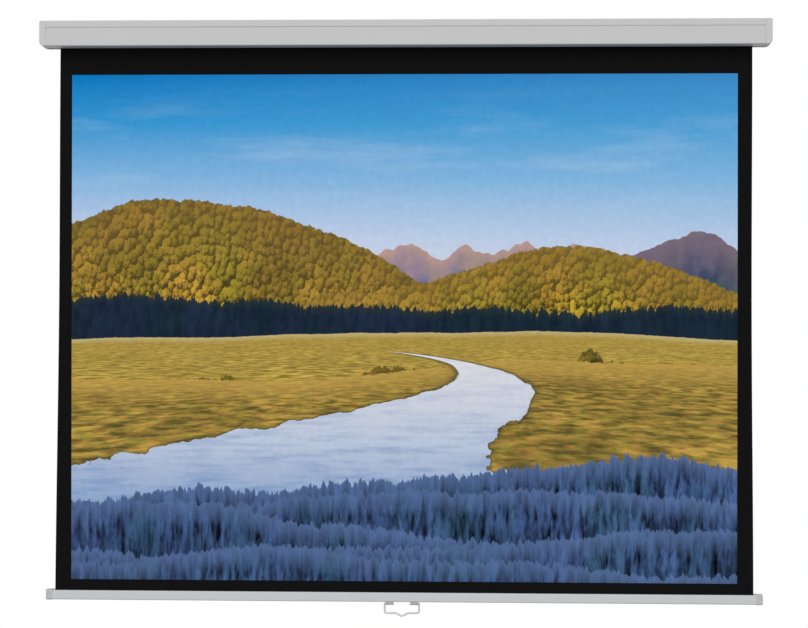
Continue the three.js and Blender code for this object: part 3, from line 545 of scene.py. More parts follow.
# What grows on it: the colour at that edge, the light and dark further down, past the fade, how fine,
# stretched and clumped the growth is, and how fine its patches of light are
growthValues = ("Crown", "Light", "Dark", "Grain", "Stretch", "Fade", "Clump", "Patch")
growths = {
    "farRidge": ((206, 166, 150), (178, 146, 150), (116, 118, 156), 26.0, (1.0, 0.8, 1), 0.05, 0.0, 6.0),
    "blueRidge": ((140, 118, 128), (104, 102, 128), (66, 76, 112), 34.0, (1.0, 0.7, 1), 0.09, 0.0, 6.0),
    "leftHill": ((122, 98, 50), (222, 174, 64), (54, 50, 26), 98.0, (1.0, 0.62, 1), 0.22, 0.85, 6.0),
    "rightHill": ((140, 112, 52), (230, 180, 64), (58, 54, 26), 108.0, (1.0, 0.62, 1), 0.12, 0.85, 6.0),
    "treeLine": ((48, 58, 50), (36, 50, 72), (22, 34, 56), 70.0, (1.0, 0.3, 1), 0.018, 0.4, 6.0),
    "farField": ((212, 196, 146), (226, 184, 92), (146, 118, 56), 7.0, (0.4, 1.0, 1), 0.012, 0.0, 0.7),
    "copse": ((104, 90, 42), (190, 146, 58), (34, 38, 28), 52.0, (1.0, 0.9, 1), 0.03, 0.9, 6.0),
    "nearField": ((206, 168, 84), (210, 166, 80), (100, 84, 44), 8.0, (0.5, 1.0, 1), 0.05, 0.2, 0.8),
}
layersOnGround = ("farField", "nearField")  # these are seen on flat ground, the others upright

# Rows of grass in the shade at the front, the nearest last
grass = ((96, 122, 170), (80, 108, 162), (6, 9, 22), 74.0, (1.0, 0.2, 1), 0.045, 0.25, 5.0)
grassRows = [
    (0.165, 0.84, 0.30, 0.085, 0.028, 3.6, 51.0, 0.018),
    (0.120, 0.66, 0.36, 0.070, 0.028, 3.6, 53.0, 0.018),
    (0.085, 0.14, 0.28, 0.075, 0.028, 3.6, 59.0, 0.018),
    (0.045, 0.86, 0.30, 0.055, 0.028, 3.6, 61.0, 0.018),
    (0.010, 0.30, 0.34, 0.050, 0.028, 3.6, 67.0, 0.018),
]


def makeRidgeGroup():
    # how far a place lies below a ridge
    names = ("Across", "Up") + ridgeValues
    given, made = newGroup("ridgeLine", dict.fromkeys(names, "Float"), {"Depth": "Float"})
    aside = over(minus(given["Across"], given["Crest"]), given["Crest width"])
    bell = calc("EXPONENT", times(times(aside, aside), -1.0))
    line = addNode("CombineXYZ", {"X": given["Across"], "Y": given["Seed"]}).outputs[0]
    slow = remap(noise(line, given["Scale"], 4.0), 0.25, 0.75, -1.0, 1.0)
    fine = remap(noise(line, 95.0, 3.0, 0.7), 0.25, 0.75, -1.0, 1.0)
    top = timesPlus(bell, given["Crest rise"], given["Height"])
    top = timesPlus(slow, given["Swing"], top)
    top = timesPlus(fine, given["Fuzz"], top)
    setInputs(made, {"Depth": minus(top, given["Up"])})
    return made.id_data


def makeClumpGroup():
    # rounded clumps lit from the upper left, each a little lighter or darker than the next
    given, made = newGroup("clumps", {"Place": "Vector", "Grain": "Float"}, {"Light": "Float"})
    scaled = vectorCalc("SCALE", given["Place"], given["Grain"])
    waves = noise(scaled, 2.2, output="Color")
    shake = vectorCalc("SCALE", vectorCalc("SUBTRACT", waves, (0.5, 0.5, 0.5)), 0.9)
    shaken = vectorCalc("ADD", scaled, shake)
    cells = addNode("TexVoronoi", {"Vector": shaken, "Scale": 1.0}, voronoi_dimensions="2D").outputs
    aside = vectorCalc("SUBTRACT", shaken, cells["Position"])
    facing = vectorCalc("DOT_PRODUCT", aside, (-0.5, 0.9, 0.0))
    chance = addNode("SeparateColor", {0: cells["Color"]}).outputs[0]
    light = timesPlus(cells["Distance"], -0.55, timesPlus(facing, 0.85, 0.37))
    setInputs(made, {"Light": timesPlus(chance, 0.5, light)})
    return made.id_data


def makeGrowthGroup(clumpGroup):
    # clumps of growth, or plain streaks where Clump is low, in patches of light and fainter at the crown
    kinds = {
        "Place": "Vector", "Stretch": "Vector", "Grain": "Float", "Clump": "Float", "Patch": "Float",
        "Depth": "Float", "Fade": "Float", "Crown": "Color", "Light": "Color", "Dark": "Color",
    }
    given, made = newGroup("growth", kinds, {"Color": "Color"})
    drawn = vectorCalc("MULTIPLY", given["Place"], given["Stretch"])
    streaks = remap(noise(drawn, given["Grain"], 3.0, 0.6), 0.38, 0.62)
    coarse, fine = (
        useGroup(clumpGroup, {"Place": drawn, "Grain": grain})["Light"]
        for grain in (given["Grain"], times(given["Grain"], 2.7))
    )
    clumped = remap(mixValues(0.25, coarse, fine), 0.1, 0.68)
    growth = mixValues(given["Clump"], streaks, clumped)
    patches = remap(noise(given["Place"], given["Patch"], 4.0, 0.6), 0.32, 0.68, 0.5, 1.25)
    growth = mixColours(times(growth, patches, clamp=True), given["Dark"], given["Light"])
    greener = remap(noise(drawn, 11.0, 3.0), 0.42, 0.62, 0.0, 0.8)
    growth = mixColours(greener, growth, (0.62, 0.90, 0.66, 1), "MULTIPLY")
    down = over(given["Depth"], given["Fade"], clamp=True)
    setInputs(made, {"Color": mixColours(timesPlus(down, 0.72, 0.28), given["Crown"], growth)})
    return made.id_data


def paintLayer(canvas, groups, spot, place, ridge, growth):
    edge = dict(zip(ridgeValues, ridge))
    depth = useGroup(groups["ridge"], {"Across": spot["across"], "Up": spot["up"], **edge})["Depth"]
    look = dict(zip(growthValues, growth))
    for name in ("Crown", "Light", "Dark"):
        look[name] = srgb(look[name])
    colour = useGroup(groups["growth"], {"Place": place, "Depth": depth, **look})["Color"]
    return mixColours(over(depth, picture["layerEdge"], clamp=True), canvas, colour)


def paintSky(spot):
    blue = colourRamp(spot["up"], sky["blue"])
    lit = mixColours(times(spot["across"], sky["glow"]), blue, srgb(sky["pale"]))
    streaks = noise(stretched(spot["place"], sky["cloudStretch"]), 2.1, 5.0, 0.6)
    fromMiddle = calc("ABSOLUTE", remap(spot["up"], 0.70, 0.98, -1.0, 1.0))
    cover = times(remap(streaks, 0.50, 0.80), minus(1.0, fromMiddle, clamp=True))
    return mixColours(times(cover, sky["cloudCover"]), lit, srgb(sky["cloud"]))


def paintRiver(canvas, spot):
    # the river winds towards the viewer and widens on the way
    ahead = calc("MAXIMUM", minus(river["start"], spot["up"]), 0.0)
    bends = calc("SINE", times(calc("POWER", ahead, 0.70), river["bends"]))
    middleLine = timesPlus(bends, river["swing"], river["middle"])
    width = timesPlus(calc("POWER", ahead, 1.35), 2.3, 0.005)
    shore = remap(noise(spot["place"], 22.0, 4.0), 0.3, 0.7, -1.0, 1.0)
    ragged = times(shore, times(width, 0.14))
    aside = calc("ABSOLUTE", minus(spot["across"], middleLine))
    inside = calc("ADD", minus(width, aside), ragged)
    started = over(ahead, 0.004, clamp=True)
    bankShare = over(calc("ADD", inside, river["bank"]), river["bank"], clamp=True)
    bankMask = times(calc("POWER", bankShare, 2.0), started)
    waterMask = times(over(inside, 0.003, clamp=True), started)
    withBank = mixColours(times(bankMask, 0.8), canvas, srgb(river["bankColour"]))
    water = colourRamp(remap(ahead, 0.0, 0.36), river["water"])
    ripples = noise(stretched(spot["place"], (1, 8, 1)), 9.0, 4.0, 0.6)
    strength = times(remap(ripples, 0.46, 0.72), remap(ahead, 0.0, 0.3, 0.1, 0.7))
    rippled = mixColours(strength, water, srgb(river["ripple"]))
    return mixColours(waterMask, withBank, rippled)


def paintValley(spot):
    groups = {"ridge": makeRidgeGroup(), "growth": makeGrowthGroup(makeClumpGroup())}
    canvas = paintSky(spot)
    for name, ridge in ridges.items():
        place = spot["ground" if name in layersOnGround else "place"]
        canvas = paintLayer(canvas, groups, spot, place, ridge, growths[name])
    canvas = paintRiver(canvas, spot)
    for ridge in grassRows:
        canvas = paintLayer(canvas, groups, spot, spot["place"], ridge, grass)
    return canvas


# The cloths: the relief of their threads and how strong it shows, their roughness and their sheen
cloth = {
    "thread": 0.5 * mm,
    "front": {"relief": 0.02 * mm, "strength": 0.4, "roughness": (0.82, 0.92), "sheen": 0.05},
    "back": {"relief": 0.03 * mm, "strength": 0.5, "roughness": (0.7, 0.8), "sheen": 0.25},
    "black": (22, 22, 23),
    "blackChange": 9,
    "blackGrain": 2 * mm,
    "blackDrift": 0.4,
}


def weaveCloth(shader, place, look):
    weave = useGroup(weaveGroup, {"Place": place, "Thread": cloth["thread"]})
    height = weave["Height"]
    bump = addNode("Bump", {"Height": height, "Distance": look["relief"], "Strength": look["strength"]})
    setInputs(shader, {
        "Roughness": remap(height, 0.0, 1.0, *look["roughness"]),
        "Specular IOR Level": look["sheen"],
        "Normal": bump.outputs["Normal"],
    })
    return weave["Shade"]


def makeScreenFront(low, high):
    # matt projection surface: black border all round, the picture inside it
    material, shader, place = newMaterial("screen-front")
    apart = addNode("SeparateXYZ", {0: place}).outputs
    bottom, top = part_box("bottom_bar")[1].z + picture["bottomBorder"], picture["top"]
    up = remap(apart["Z"], bottom, top)
    leftAtTop, leftAtBottom = (low.x + width for width in picture["leftBorder"])
    rightAtTop, rightAtBottom = (high.x - width for width in picture["rightBorder"])
    left = timesPlus(up, leftAtTop - leftAtBottom, leftAtBottom)
    right = timesPlus(up, rightAtTop - rightAtBottom, rightAtBottom)
    fromLeft, fromRight = minus(apart["X"], left), minus(right, apart["X"])
    across = over(fromLeft, minus(right, left))
    aspect = (rightAtBottom - leftAtBottom) / (top - bottom)
    wide = times(across, aspect)
    painted = addNode("CombineXYZ", {"X": wide, "Y": up}).outputs[0]
    # the same place on flat ground seen from above it, where things get smaller with distance
    below = calc("MAXIMUM", minus(picture["horizon"], up), picture["nearestBelow"])
    groundX = over(minus(wide, aspect / 2), below)
    ground = addNode("CombineXYZ", {"X": groundX, "Y": over(picture["eyeHeight"], below)}).outputs[0]
    spot = {"across": across, "up": up, "place": painted, "ground": ground}
    canvas = paintValley(spot) if picture["isShown"] else srgb(picture["blank"])
    fromSide = calc("MINIMUM", fromLeft, fromRight)
    fromEnd = calc("MINIMUM", minus(apart["Z"], bottom), minus(top, apart["Z"]))
    inside = over(calc("MINIMUM", fromSide, fromEnd), picture["borderEdge"], clamp=True)
    printed = mixColours(inside, srgb(picture["border"]), canvas)
    shade = weaveCloth(shader, place, cloth["front"])
    grey = addNode("CombineColor", dict.fromkeys(range(3), shade)).outputs[0]
    setInputs(shader, {"Base Color": mixColours(1.0, printed, grey, "MULTIPLY")})
    return material


def makeBlackCloth():
    # the coated black back of the fabric, and its hem and wraps
    material, shader, place = newMaterial("fabric-black")
    grain = useGroup(grainGroup, {
        "Place": place, "Size": cloth["blackGrain"], "Stretch": even, "Drift size": cloth["blackDrift"],
    })
    dark = srgb(cloth["black"])
    pale = srgb(value + cloth["blackChange"] for value in cloth["black"])
    weaveCloth(shader, place, cloth["back"])
    setInputs(shader, {"Base Color": mixColours(times(grain["Drift"], grain["Grain"]), dark, pale)})
    return material


materials["fabric_black"] = makeBlackCloth()


# Case: rear shell and front cover, two bent steel sheets that meet in a shadow groove
shell = {
    "wall": 1.2 * mm,
    "bend": 2 * mm,
    "frontBend": 3 * mm,
    "ledgeBend": 0.6 * mm,
    "grooveHeight": 4.5 * mm,
    "ledge": 1.5 * mm,
    "tongue": 9 * mm,
    "slotWidth": 16 * mm,
    "lip": 5 * mm,
    "edge": 0.25 * mm,
    "rivetHole": 2.2 * mm,
}


def drillRivetHoles(piece, side, y, depth):
    for end in ("inner", "outer"):
        drill(piece, "y", centreOf(f"hanger_rivet_{side}_{end}", y=y), shell["rivetHole"], depth)


def makeRearShell():
    low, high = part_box("case_rear_shell")
    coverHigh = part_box("case_front_cover")[1]
    slotBack = coverHigh.y + shell["slotWidth"]
    grooveTop = coverHigh.z + shell["grooveHeight"]
    tongueY = low.y + shell["ledge"]
    bend = shell["bend"]
    corners = [
        (slotBack, low.z + shell["lip"]), (slotBack, low.z, bend),
        (high.y, low.z, bend), (high.y, high.z, bend), (low.y, high.z, bend),
        (low.y, grooveTop, shell["ledgeBend"]), (tongueY, grooveTop, shell["ledgeBend"]),
        (tongueY, coverHigh.z - shell["tongue"]),
    ]
    piece = foldedSheet("rearShell", "x", (low.x, high.x), corners, shell["wall"])
    for side in sides:
        drillRivetHoles(piece, side, high.y, 4 * shell["wall"])
    install(piece, "case", "case_rear_shell", "case_paint", shell["edge"])


def makeFrontCover():
    low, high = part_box("case_front_cover")
    corners = [
        (low.y, high.z),
        (low.y, low.z, shell["frontBend"]),
        (high.y, low.z, shell["bend"]),
        (high.y, low.z + shell["lip"]),
    ]
    piece = foldedSheet("frontCover", "x", (low.x, high.x), corners, shell["wall"], segments=8)
    install(piece, "case", "case_front_cover", "case_paint", shell["edge"])


makeRearShell()
makeFrontCover()
print("case shells made")


# End caps: moulded cups with a rounded lower corner and a spigot into the case
endCap = {
    "wall": 2 * mm,
    "width": 17 * mm,
    "corner": 12.5 * mm,
    "topCorner": 2.2 * mm,
    "frontEdge": 2 * mm,
    "spigotGap": 0.3 * mm,
    "spigotWall": 2 * mm,
    "spigotRoot": 5 * mm,
    "bossRadius": 5 * mm,
    "screwBore": 2.1 * mm,
    "screwRecess": 4.0 * mm,
    "recessDepth": 2.2 * mm,
    "edge": 0.25 * mm,
}


def capBlock(name, sign, low, high, inner, outer, shrink):
    # a block with the cap's outside form, smaller all round by shrink and open towards the case
    inner -= sign * (work["overrun"] if shrink else 0)
    outer -= sign * shrink
    front, bottom = low.y + shrink, low.z + shrink
    back, top = high.y - shrink, high.z - shrink
    piece = cube(name, (inner, front, bottom), (outer, back, top))

    def isFaceRim(edge):
        return (liesAt(edge, 1, front) or liesAt(edge, 1, back)) and not liesAt(edge, 0, inner)

    roundEdges(piece, longEdgesAt("y", (outer, bottom)), endCap["corner"] - shrink, 18)
    if not shrink:
        roundEdges(piece, longEdgesAt("y", (outer, top)), endCap["topCorner"], 5)
        roundEdges(piece, isFaceRim, endCap["frontEdge"], 5)
    return piece


def makeSpigot(sign, low, high, deepest, inner):
    # a square ring inside the case's sheet, notched for the groove's tongue and the fabric's slot
    wall, overrun = shell["wall"], work["overrun"]
    gap = wall + endCap["spigotGap"]
    root = inner + sign * endCap["spigotRoot"]
    spigot = cube("spigot", (deepest, low.y + gap, low.z + gap), (root, high.y - gap, high.z - gap))
    roundEdges(spigot, lambda e: runsAlong(e, 0), shell["bend"], 4)
    bore = gap + endCap["spigotWall"]
    boreStart = (deepest - sign * overrun, low.y + bore, low.z + bore)
    boreEnd = (root + sign * overrun, high.y - bore, high.z - bore)
    combine(spigot, cube("bore", boreStart, boreEnd))
    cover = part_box("case_front_cover")[1]
    tongueFoot = cover.z - shell["tongue"] - overrun
    grooveTop = cover.z + shell["grooveHeight"] + 2 * wall
    slotBack = cover.y + shell["slotWidth"] + 2 * wall
    notches = [
        ((low.y, tongueFoot), (low.y + bore + overrun, grooveTop)),
        ((cover.y - 2 * wall, low.z), (slotBack, low.z + bore + overrun)),
    ]
    start, end = deepest - sign * overrun, inner + sign * endCap["spigotGap"]
    for foot, head in notches:
        combine(spigot, cube("notch", (start, *foot), (end, *head)))
    return spigot


def makeEndCap(side, sign):
    node = f"end_cap_{side}"
    low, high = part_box(node)
    deepest, outer = outwards(sign, low, high)
    inner = outer - sign * endCap["width"]
    piece = capBlock(f"endCap-{side}", sign, low, high, inner, outer, 0)
    combine(piece, capBlock("hollow", sign, low, high, inner, outer, endCap["wall"]))
    combine(piece, makeSpigot(sign, low, high, deepest, inner), "UNION")
    plateFace = outwards(sign, *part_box(f"bearing_plate_{side}"))[1] + sign * endCap["spigotGap"]
    bossEnd = outer - sign * endCap["wall"] / 2
    for level in ("upper", "lower"):
        screw = f"cap_screw_{side}_{level}"
        place = centreOf(screw, x=(plateFace + bossEnd) / 2)
        boss = cylinder("boss", "x", place, endCap["bossRadius"], abs(bossEnd - plateFace), 40)
        combine(piece, boss, "UNION")
        drill(piece, "x", place, endCap["screwBore"], 4 * endCap["width"], 32)
        face = centreOf(screw, x=outer)
        drill(piece, "x", face, endCap["screwRecess"], 2 * endCap["recessDepth"], 48)
    install(piece, "case", node, "cap_plastic", endCap["edge"])


for side, sign in sides.items():
    makeEndCap(side, sign)
print("end caps made")


# Screws, modelled once and copied
screws = {
    "capHead": 2 * mm,
    "capShank": 1.9 * mm,
    "lugHead": 1.6 * mm,
    "lugShank": 1.5 * mm,
    "crown": 0.8 * mm,
    "crossWidth": 1.1 * mm,
    "crossDepth": 1.2 * mm,
    "crossDepthShare": 0.7,
    "crossLengthShare": 0.62,
    "crossTaper": 0.75,
    "edge": 0.08 * mm,
}


def makeScrew(name, headRadius, headHeight, shankRadius, length):
    # head up, its top face on z = 0, the shank below it, and a cross recess
    piece = cylinder(name, "z", (0, 0, -headHeight / 2), headRadius, headHeight)
    editing(piece)
    pick(piece, "FACE", lambda f: f.normal.z < -0.9)
    bpy.ops.mesh.inset(thickness=headRadius - shankRadius)
    pull((0, 0, headHeight - length))
    editing(piece, False)
    crown = min(screws["crown"], headHeight / 2)
    roundEdges(piece, lambda e: near(middle(e).z, 0), crown, 4)
    arm, half = headRadius * screws["crossLengthShare"], screws["crossWidth"] / 2
    depth = min(screws["crossDepth"], headHeight * screws["crossDepthShare"])
    taper = screws["crossTaper"]
    for reachX, reachY in ((arm, half), (half, arm)):
        tool = cube("cross", (-reachX, -reachY, -depth), (reachX, reachY, work["overrun"]))
        editing(tool)
        pick(tool, "FACE", lambda f: f.normal.z < -0.9)
        bpy.ops.transform.resize(value=(taper, taper, 1), center_override=(0, 0, -depth))
        editing(tool, False)
        combine(piece, tool)
    smooth(piece, screws["edge"])
    return piece


def placeCapScrews():
    low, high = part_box("cap_screw_right_upper")
    radius, length = (high.y - low.y) / 2, high.x - low.x
    pattern = makeScrew("capScrewPattern", radius, screws["capHead"], screws["capShank"], length)

    def locate(node, sign):
        return centreOf(node, x=outwards(sign, *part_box(node))[1]), sign * math.pi / 2, "Y"

    placeCopies(pattern, "case", "capScrew", "cap_screw", ("_upper", "_lower"), locate)


placeCapScrews()
print("cap screws placed")


# Hangers: steel hat sections on the back, each with a keyhole for a wall screw and two blind rivets
hanger = {
    "steel": 1.5 * mm,
    "plateWidth": 36 * mm,
    "bend": 2 * mm,
    "footBend": 0.5 * mm,
    "footCorner": 3 * mm,
    "slotRadius": 2.7 * mm,
    "headRadius": 5.5 * mm,
    "slotTop": -0.2 * mm,
    "drop": 12 * mm,
    "edge": 0.2 * mm,
}
rivet = {
    "crown": 0.9 * mm,
    "core": 1.1 * mm,
    "coreDepthShare": 0.6,
    "grip": 2.7 * mm,
    "tail": 3 * mm,
    "tailStep": 0.01 * mm,
    "tailRound": 0.6 * mm,
    "edge": 0.05 * mm,
}


def makeRivet(name):
    # dome up with the hole of its broken core, its seat on z = 0, the shank and set tail below
    low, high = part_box("hanger_rivet_left_inner")
    radius = (high.x - low.x) / 2
    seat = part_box("hanger_left")[0].y + hanger["steel"]
    height, grip = high.y - seat, rivet["grip"]
    tailHeight = seat - low.y - grip
    piece = cylinder(name, "z", (0, 0, height / 2), radius, height)
    roundEdges(piece, lambda e: near(middle(e).z, height), rivet["crown"], 5)
    editing(piece)
    pick(piece, "FACE", lambda f: f.normal.z > 0.9 and len(f.verts) > 8)
    bpy.ops.mesh.inset(thickness=radius - rivet["crown"] - rivet["core"])
    pull((0, 0, -height * rivet["coreDepthShare"]))
    pick(piece, "FACE", lambda f: f.normal.z < -0.9 and near(f.calc_center_median().z, 0))
    bpy.ops.mesh.inset(thickness=radius / 2)
    pull((0, 0, -grip))
    pull((0, 0, -rivet["tailStep"]))
    wider = 2 * rivet["tail"] / radius
    bpy.ops.transform.resize(value=(wider, wider, 1), center_override=(0, 0, -grip))
    pull((0, 0, -tailHeight))
    editing(piece, False)
    roundEdges(piece, lambda e: near(middle(e).z, -grip - tailHeight), rivet["tailRound"], 3)
    smooth(piece, rivet["edge"])
    return piece, seat


def placeRivets():
    pattern, seat = makeRivet("rivetPattern")
    placeCopies(pattern, "case", "rivet", "hanger_rivet", ("_inner", "_outer"),
                lambda node, sign: (centreOf(node, y=seat), -math.pi / 2, "X"))


def makeHanger(side):
    node = f"hanger_{side}"
    low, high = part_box(node)
    x = (low.x + high.x) / 2
    half = hanger["plateWidth"] / 2
    foot = low.y + hanger["steel"]
    corners = [
        (high.x, foot),
        (x + half, foot, hanger["footBend"]),
        (x + half, high.y, hanger["bend"]),
        (x - half, high.y, hanger["bend"]),
        (x - half, foot, hanger["footBend"]),
        (low.x, foot),
    ]
    piece = foldedSheet(f"hanger-{side}", "z", (low.z, high.z), corners, hanger["steel"])

    def isFootCorner(edge):
        return runsAlong(edge, 1) and (liesAt(edge, 0, low.x) or liesAt(edge, 0, high.x))

    roundEdges(piece, isFootCorner, hanger["footCorner"], 5)
    slotZ, radius = hanger["slotTop"], hanger["slotRadius"]
    headZ = slotZ - hanger["drop"]
    reach = 4 * hanger["steel"]
    drill(piece, "y", (x, high.y, headZ), hanger["headRadius"], reach, 48)
    drill(piece, "y", (x, high.y, slotZ), radius, reach, 32)
    neckLow = (x - radius, high.y - reach / 2, headZ)
    combine(piece, cube("neck", neckLow, (x + radius, high.y + reach / 2, slotZ)))
    drillRivetHoles(piece, side, foot, reach)
    install(piece, "case", node, "zinc_steel", hanger["edge"])


placeRivets()
for side in sides:
    makeHanger(side)
print("hangers and rivets made")


# Bottom bar: an extrusion that holds the hem in its slot, with a low flange behind the fabric
bar = {
    "wall": 1.6 * mm,
    "corner": 3 * mm,
    "slotWidth": 2.2 * mm,
    "flange": 3 * mm,
    "flangeRoundShare": 0.45,
    "slotRoundShare": 0.3,
    "screwBore": 1.7 * mm,
    "edge": 0.2 * mm,
    "capWidth": 16 * mm,
    "capCorner": 3.5 * mm,
    "tongueHeight": 10 * mm,
    "tongueRoot": 4 * mm,
    "tongueGap": 0.3 * mm,
}

# Lugs under the bar, in which the handle turns
lug = {
    "round": 4.8 * mm,
    "boreFit": 0.2 * mm,
    "boreEnd": 0.6 * mm,
    "recessFit": 0.2 * mm,
    "recessOverHead": 1.8 * mm,
    "drillLength": 40 * mm,
    "edge": 0.4 * mm,
}

# Pull handle: one bent wire with a dip for the finger
handle = {
    "radius": 2.5 * mm,
    "endX": 29 * mm,
    "legX": 44 * mm,
    "lowerBend": 5.5 * mm,
    "upperBend": 2.75 * mm,
    "dipHalfWidth": 17 * mm,
    "dipDepth": 8 * mm,
    "dipBend": 6 * mm,
    "drop": 24.2 * mm,
}


def makeBottomBar():
    low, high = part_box("bottom_bar")
    fabricY = (low.y + high.y) / 2
    lip = high.z - bar["flange"]
    slot, wall = bar["slotWidth"] / 2, bar["wall"]
    corners = [
        (fabricY - slot, lip), (low.y, lip), (low.y, low.z), (high.y, low.z),
        (high.y, high.z), (high.y - wall, high.z), (high.y - wall, lip),
        (fabricY + slot, lip), (fabricY + slot, lip - wall),
        (high.y - wall, lip - wall), (high.y - wall, low.z + wall),
        (low.y + wall, low.z + wall), (low.y + wall, lip - wall), (fabricY - slot, lip - wall),
    ]
    piece = section("bottomBar", "x", (low.x, high.x), corners)
    outside, inside = bar["corner"], bar["corner"] - wall
    flangeRound, slotRound = wall * bar["flangeRoundShare"], wall * bar["slotRoundShare"]
    rounds = [
        (outside, (1, 2, 3)), (inside / 2, (9,)), (inside, (10, 11, 12)),
        (flangeRound, (4, 5)), (slotRound, (0, 7)),
    ]
    for radius, indices in rounds:
        for index in indices:
            roundEdges(piece, longEdgesAt("x", corners[index]), radius, 8)
    for side in sides:
        drill(piece, "z", centreOf(f"lug_screw_{side}", z=low.z), bar["screwBore"], 3 * wall)
    install(piece, "bar", "bottom_bar", "bar_paint", bar["edge"])


def makeBarCap(side, sign):
    node = f"bar_end_cap_{side}"
    low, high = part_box(node)
    deepest, outer = outwards(sign, low, high)
    inner = outer - sign * bar["capWidth"]
    piece = cube(f"barCap-{side}", (inner, low.y, low.z), (outer, high.y, high.z))
    roundEdges(piece, lambda e: not liesAt(e, 0, inner), bar["capCorner"], 7)
    barLow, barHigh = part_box("bottom_bar")
    gap = bar["wall"] + bar["tongueGap"]
    foot, root = barLow.z + gap, outer - sign * bar["tongueRoot"]
    head = foot + bar["tongueHeight"]
    tongue = cube("tongue", (deepest, barLow.y + gap, foot), (root, barHigh.y - gap, head))
    roundEdges(tongue, lambda e: runsAlong(e, 0), bar["corner"] - bar["wall"], 4)
    combine(piece, tongue, "UNION")
    install(piece, "bar", node, "bar_cap_plastic", bar["edge"])


def makeLug(side, sign):
    node = f"handle_lug_{side}"
    low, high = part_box(node)
    piece = cube(f"handleLug-{side}", low, high)
    roundEdges(piece, lambda e: runsAlong(e, 0) and near(middle(e).z, low.z), lug["round"], 10)
    outer = outwards(sign, low, high)[1]
    depth = abs(outer) - handle["endX"] + lug["boreEnd"]
    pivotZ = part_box("pull_handle")[1].z - handle["radius"]
    bore = centreOf(node, x=outer - sign * depth / 2, z=pivotZ)
    drill(piece, "x", bore, handle["radius"] + lug["boreFit"], depth, 32)
    screw = f"lug_screw_{side}"
    screwLow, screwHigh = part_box(screw)
    place = centreOf(screw, z=low.z)
    recess = (screwHigh.x - screwLow.x) / 2 + lug["recessFit"]
    drill(piece, "z", place, recess, 2 * (screwLow.z + lug["recessOverHead"] - low.z), 40)
    drill(piece, "z", place, bar["screwBore"], lug["drillLength"])
    install(piece, "bar", node, "bar_cap_plastic", lug["edge"], 3)


def placeLugScrews():
    low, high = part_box("lug_screw_right")
    radius, length = (high.x - low.x) / 2, high.z - low.z
    pattern = makeScrew("lugScrewPattern", radius, screws["lugHead"], screws["lugShank"], length)
    placeCopies(pattern, "bar", "lugScrew", "lug_screw", ("",),
                lambda node, sign: (centreOf(node, z=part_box(node)[0].z), math.pi, "X"))


def makeHandle():
    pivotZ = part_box("pull_handle")[1].z - handle["radius"]
    lowZ = pivotZ - handle["drop"]
    slope = math.atan2(handle["dipDepth"], handle["dipHalfWidth"])
    half = [
        (handle["endX"], pivotZ, 0),
        (handle["legX"], pivotZ, handle["upperBend"]),
        (handle["legX"], lowZ, handle["lowerBend"]),
        (handle["dipHalfWidth"], lowZ, handle["dipBend"] * math.tan(slope / 2)),
    ]
    tip = (0, lowZ - handle["dipDepth"], handle["dipBend"] * math.tan(slope))
    points = half + [tip] + [(-x, z, bend) for x, z, bend in reversed(half)]
    piece = chain("pullHandle", "y", centreOf("pull_handle").y, points)[0]
    for x, z, bend in points:
        if bend:
            pick(piece, "VERT", lambda v: near(v.co.x, x) and near(v.co.z, z))
            bpy.ops.mesh.bevel(offset=bend, segments=8, affect="VERTICES")
    editing(piece, False)
    bpy.ops.object.convert(target="CURVE")
    wire = bpy.context.object.data
    wire.bevel_depth = handle["radius"]
    wire.bevel_resolution = 7
    wire.use_fill_caps = True
    bpy.ops.object.convert(target="MESH")
    install(bpy.context.object, "handle", "pull_handle", "handle_wire", 0)


makeBottomBar()
for side, sign in sides.items():
    makeBarCap(side, sign)
    makeLug(side, sign)
placeLugScrews()
print("bottom bar made")
makeHandle()
print("pull handle made")


# Fabric: the hanging sheet, its hem round a rod, and the turns left on the roller
fabric = {
    "thickness": 0.4 * mm,
    "waist": 3 * mm,
    "edgeCurl": 1.6 * mm,
    "curlPower": 14,
    "columns": 72,
    "rows": 56,
    "layer": 0.36 * mm,
    "hemRadius": 2.7 * mm,
    "hemSteps": 28,
    "tubeGap": 0.1 * mm,
    "stepsPerTurn": 48,
}


def makeSheet():
    low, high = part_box("screen_fabric")
    size = high - low
    y = (low.y + high.y) / 2
    bpy.ops.mesh.primitive_grid_add(
        x_subdivisions=fabric["columns"],
        y_subdivisions=fabric["rows"],
        size=1,
        location=(0, y, (low.z + high.z) / 2),
        rotation=(math.pi / 2, 0, 0),
    )
    bpy.context.object.scale = (size.x, size.z, 1)
    piece = newPiece("screenSheet")
    for point in piece.data.vertices:
        down = (high.z - point.co.z) / size.z
        aside = point.co.x / (size.x / 2)
        free = math.sin(math.pi * down)
        point.co.x -= fabric["waist"] * aside * free * free
        curl = fabric["edgeCurl"] * abs(aside) ** fabric["curlPower"]
        point.co.y -= curl * free * free
    piece.data.materials.append(makeScreenFront(low, high))
    piece.data.materials.append(materials["fabric_black"])
    thickness = fabric["thickness"]
    modify(piece, "SOLIDIFY", thickness=thickness, offset=0, material_offset=1, material_offset_rim=1)
    smooth(piece)
    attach(piece, "case")
    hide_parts("screen_fabric")
    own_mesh(piece)


def makeStrip(name, body, node, corners):
    # a strip of fabric along the case, bent to the drawn line
    low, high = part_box(node)
    piece = foldedSheet(name, "x", (low.x, high.x), corners, fabric["layer"], offset=0)
    install(piece, body, node, "fabric_black", 0)


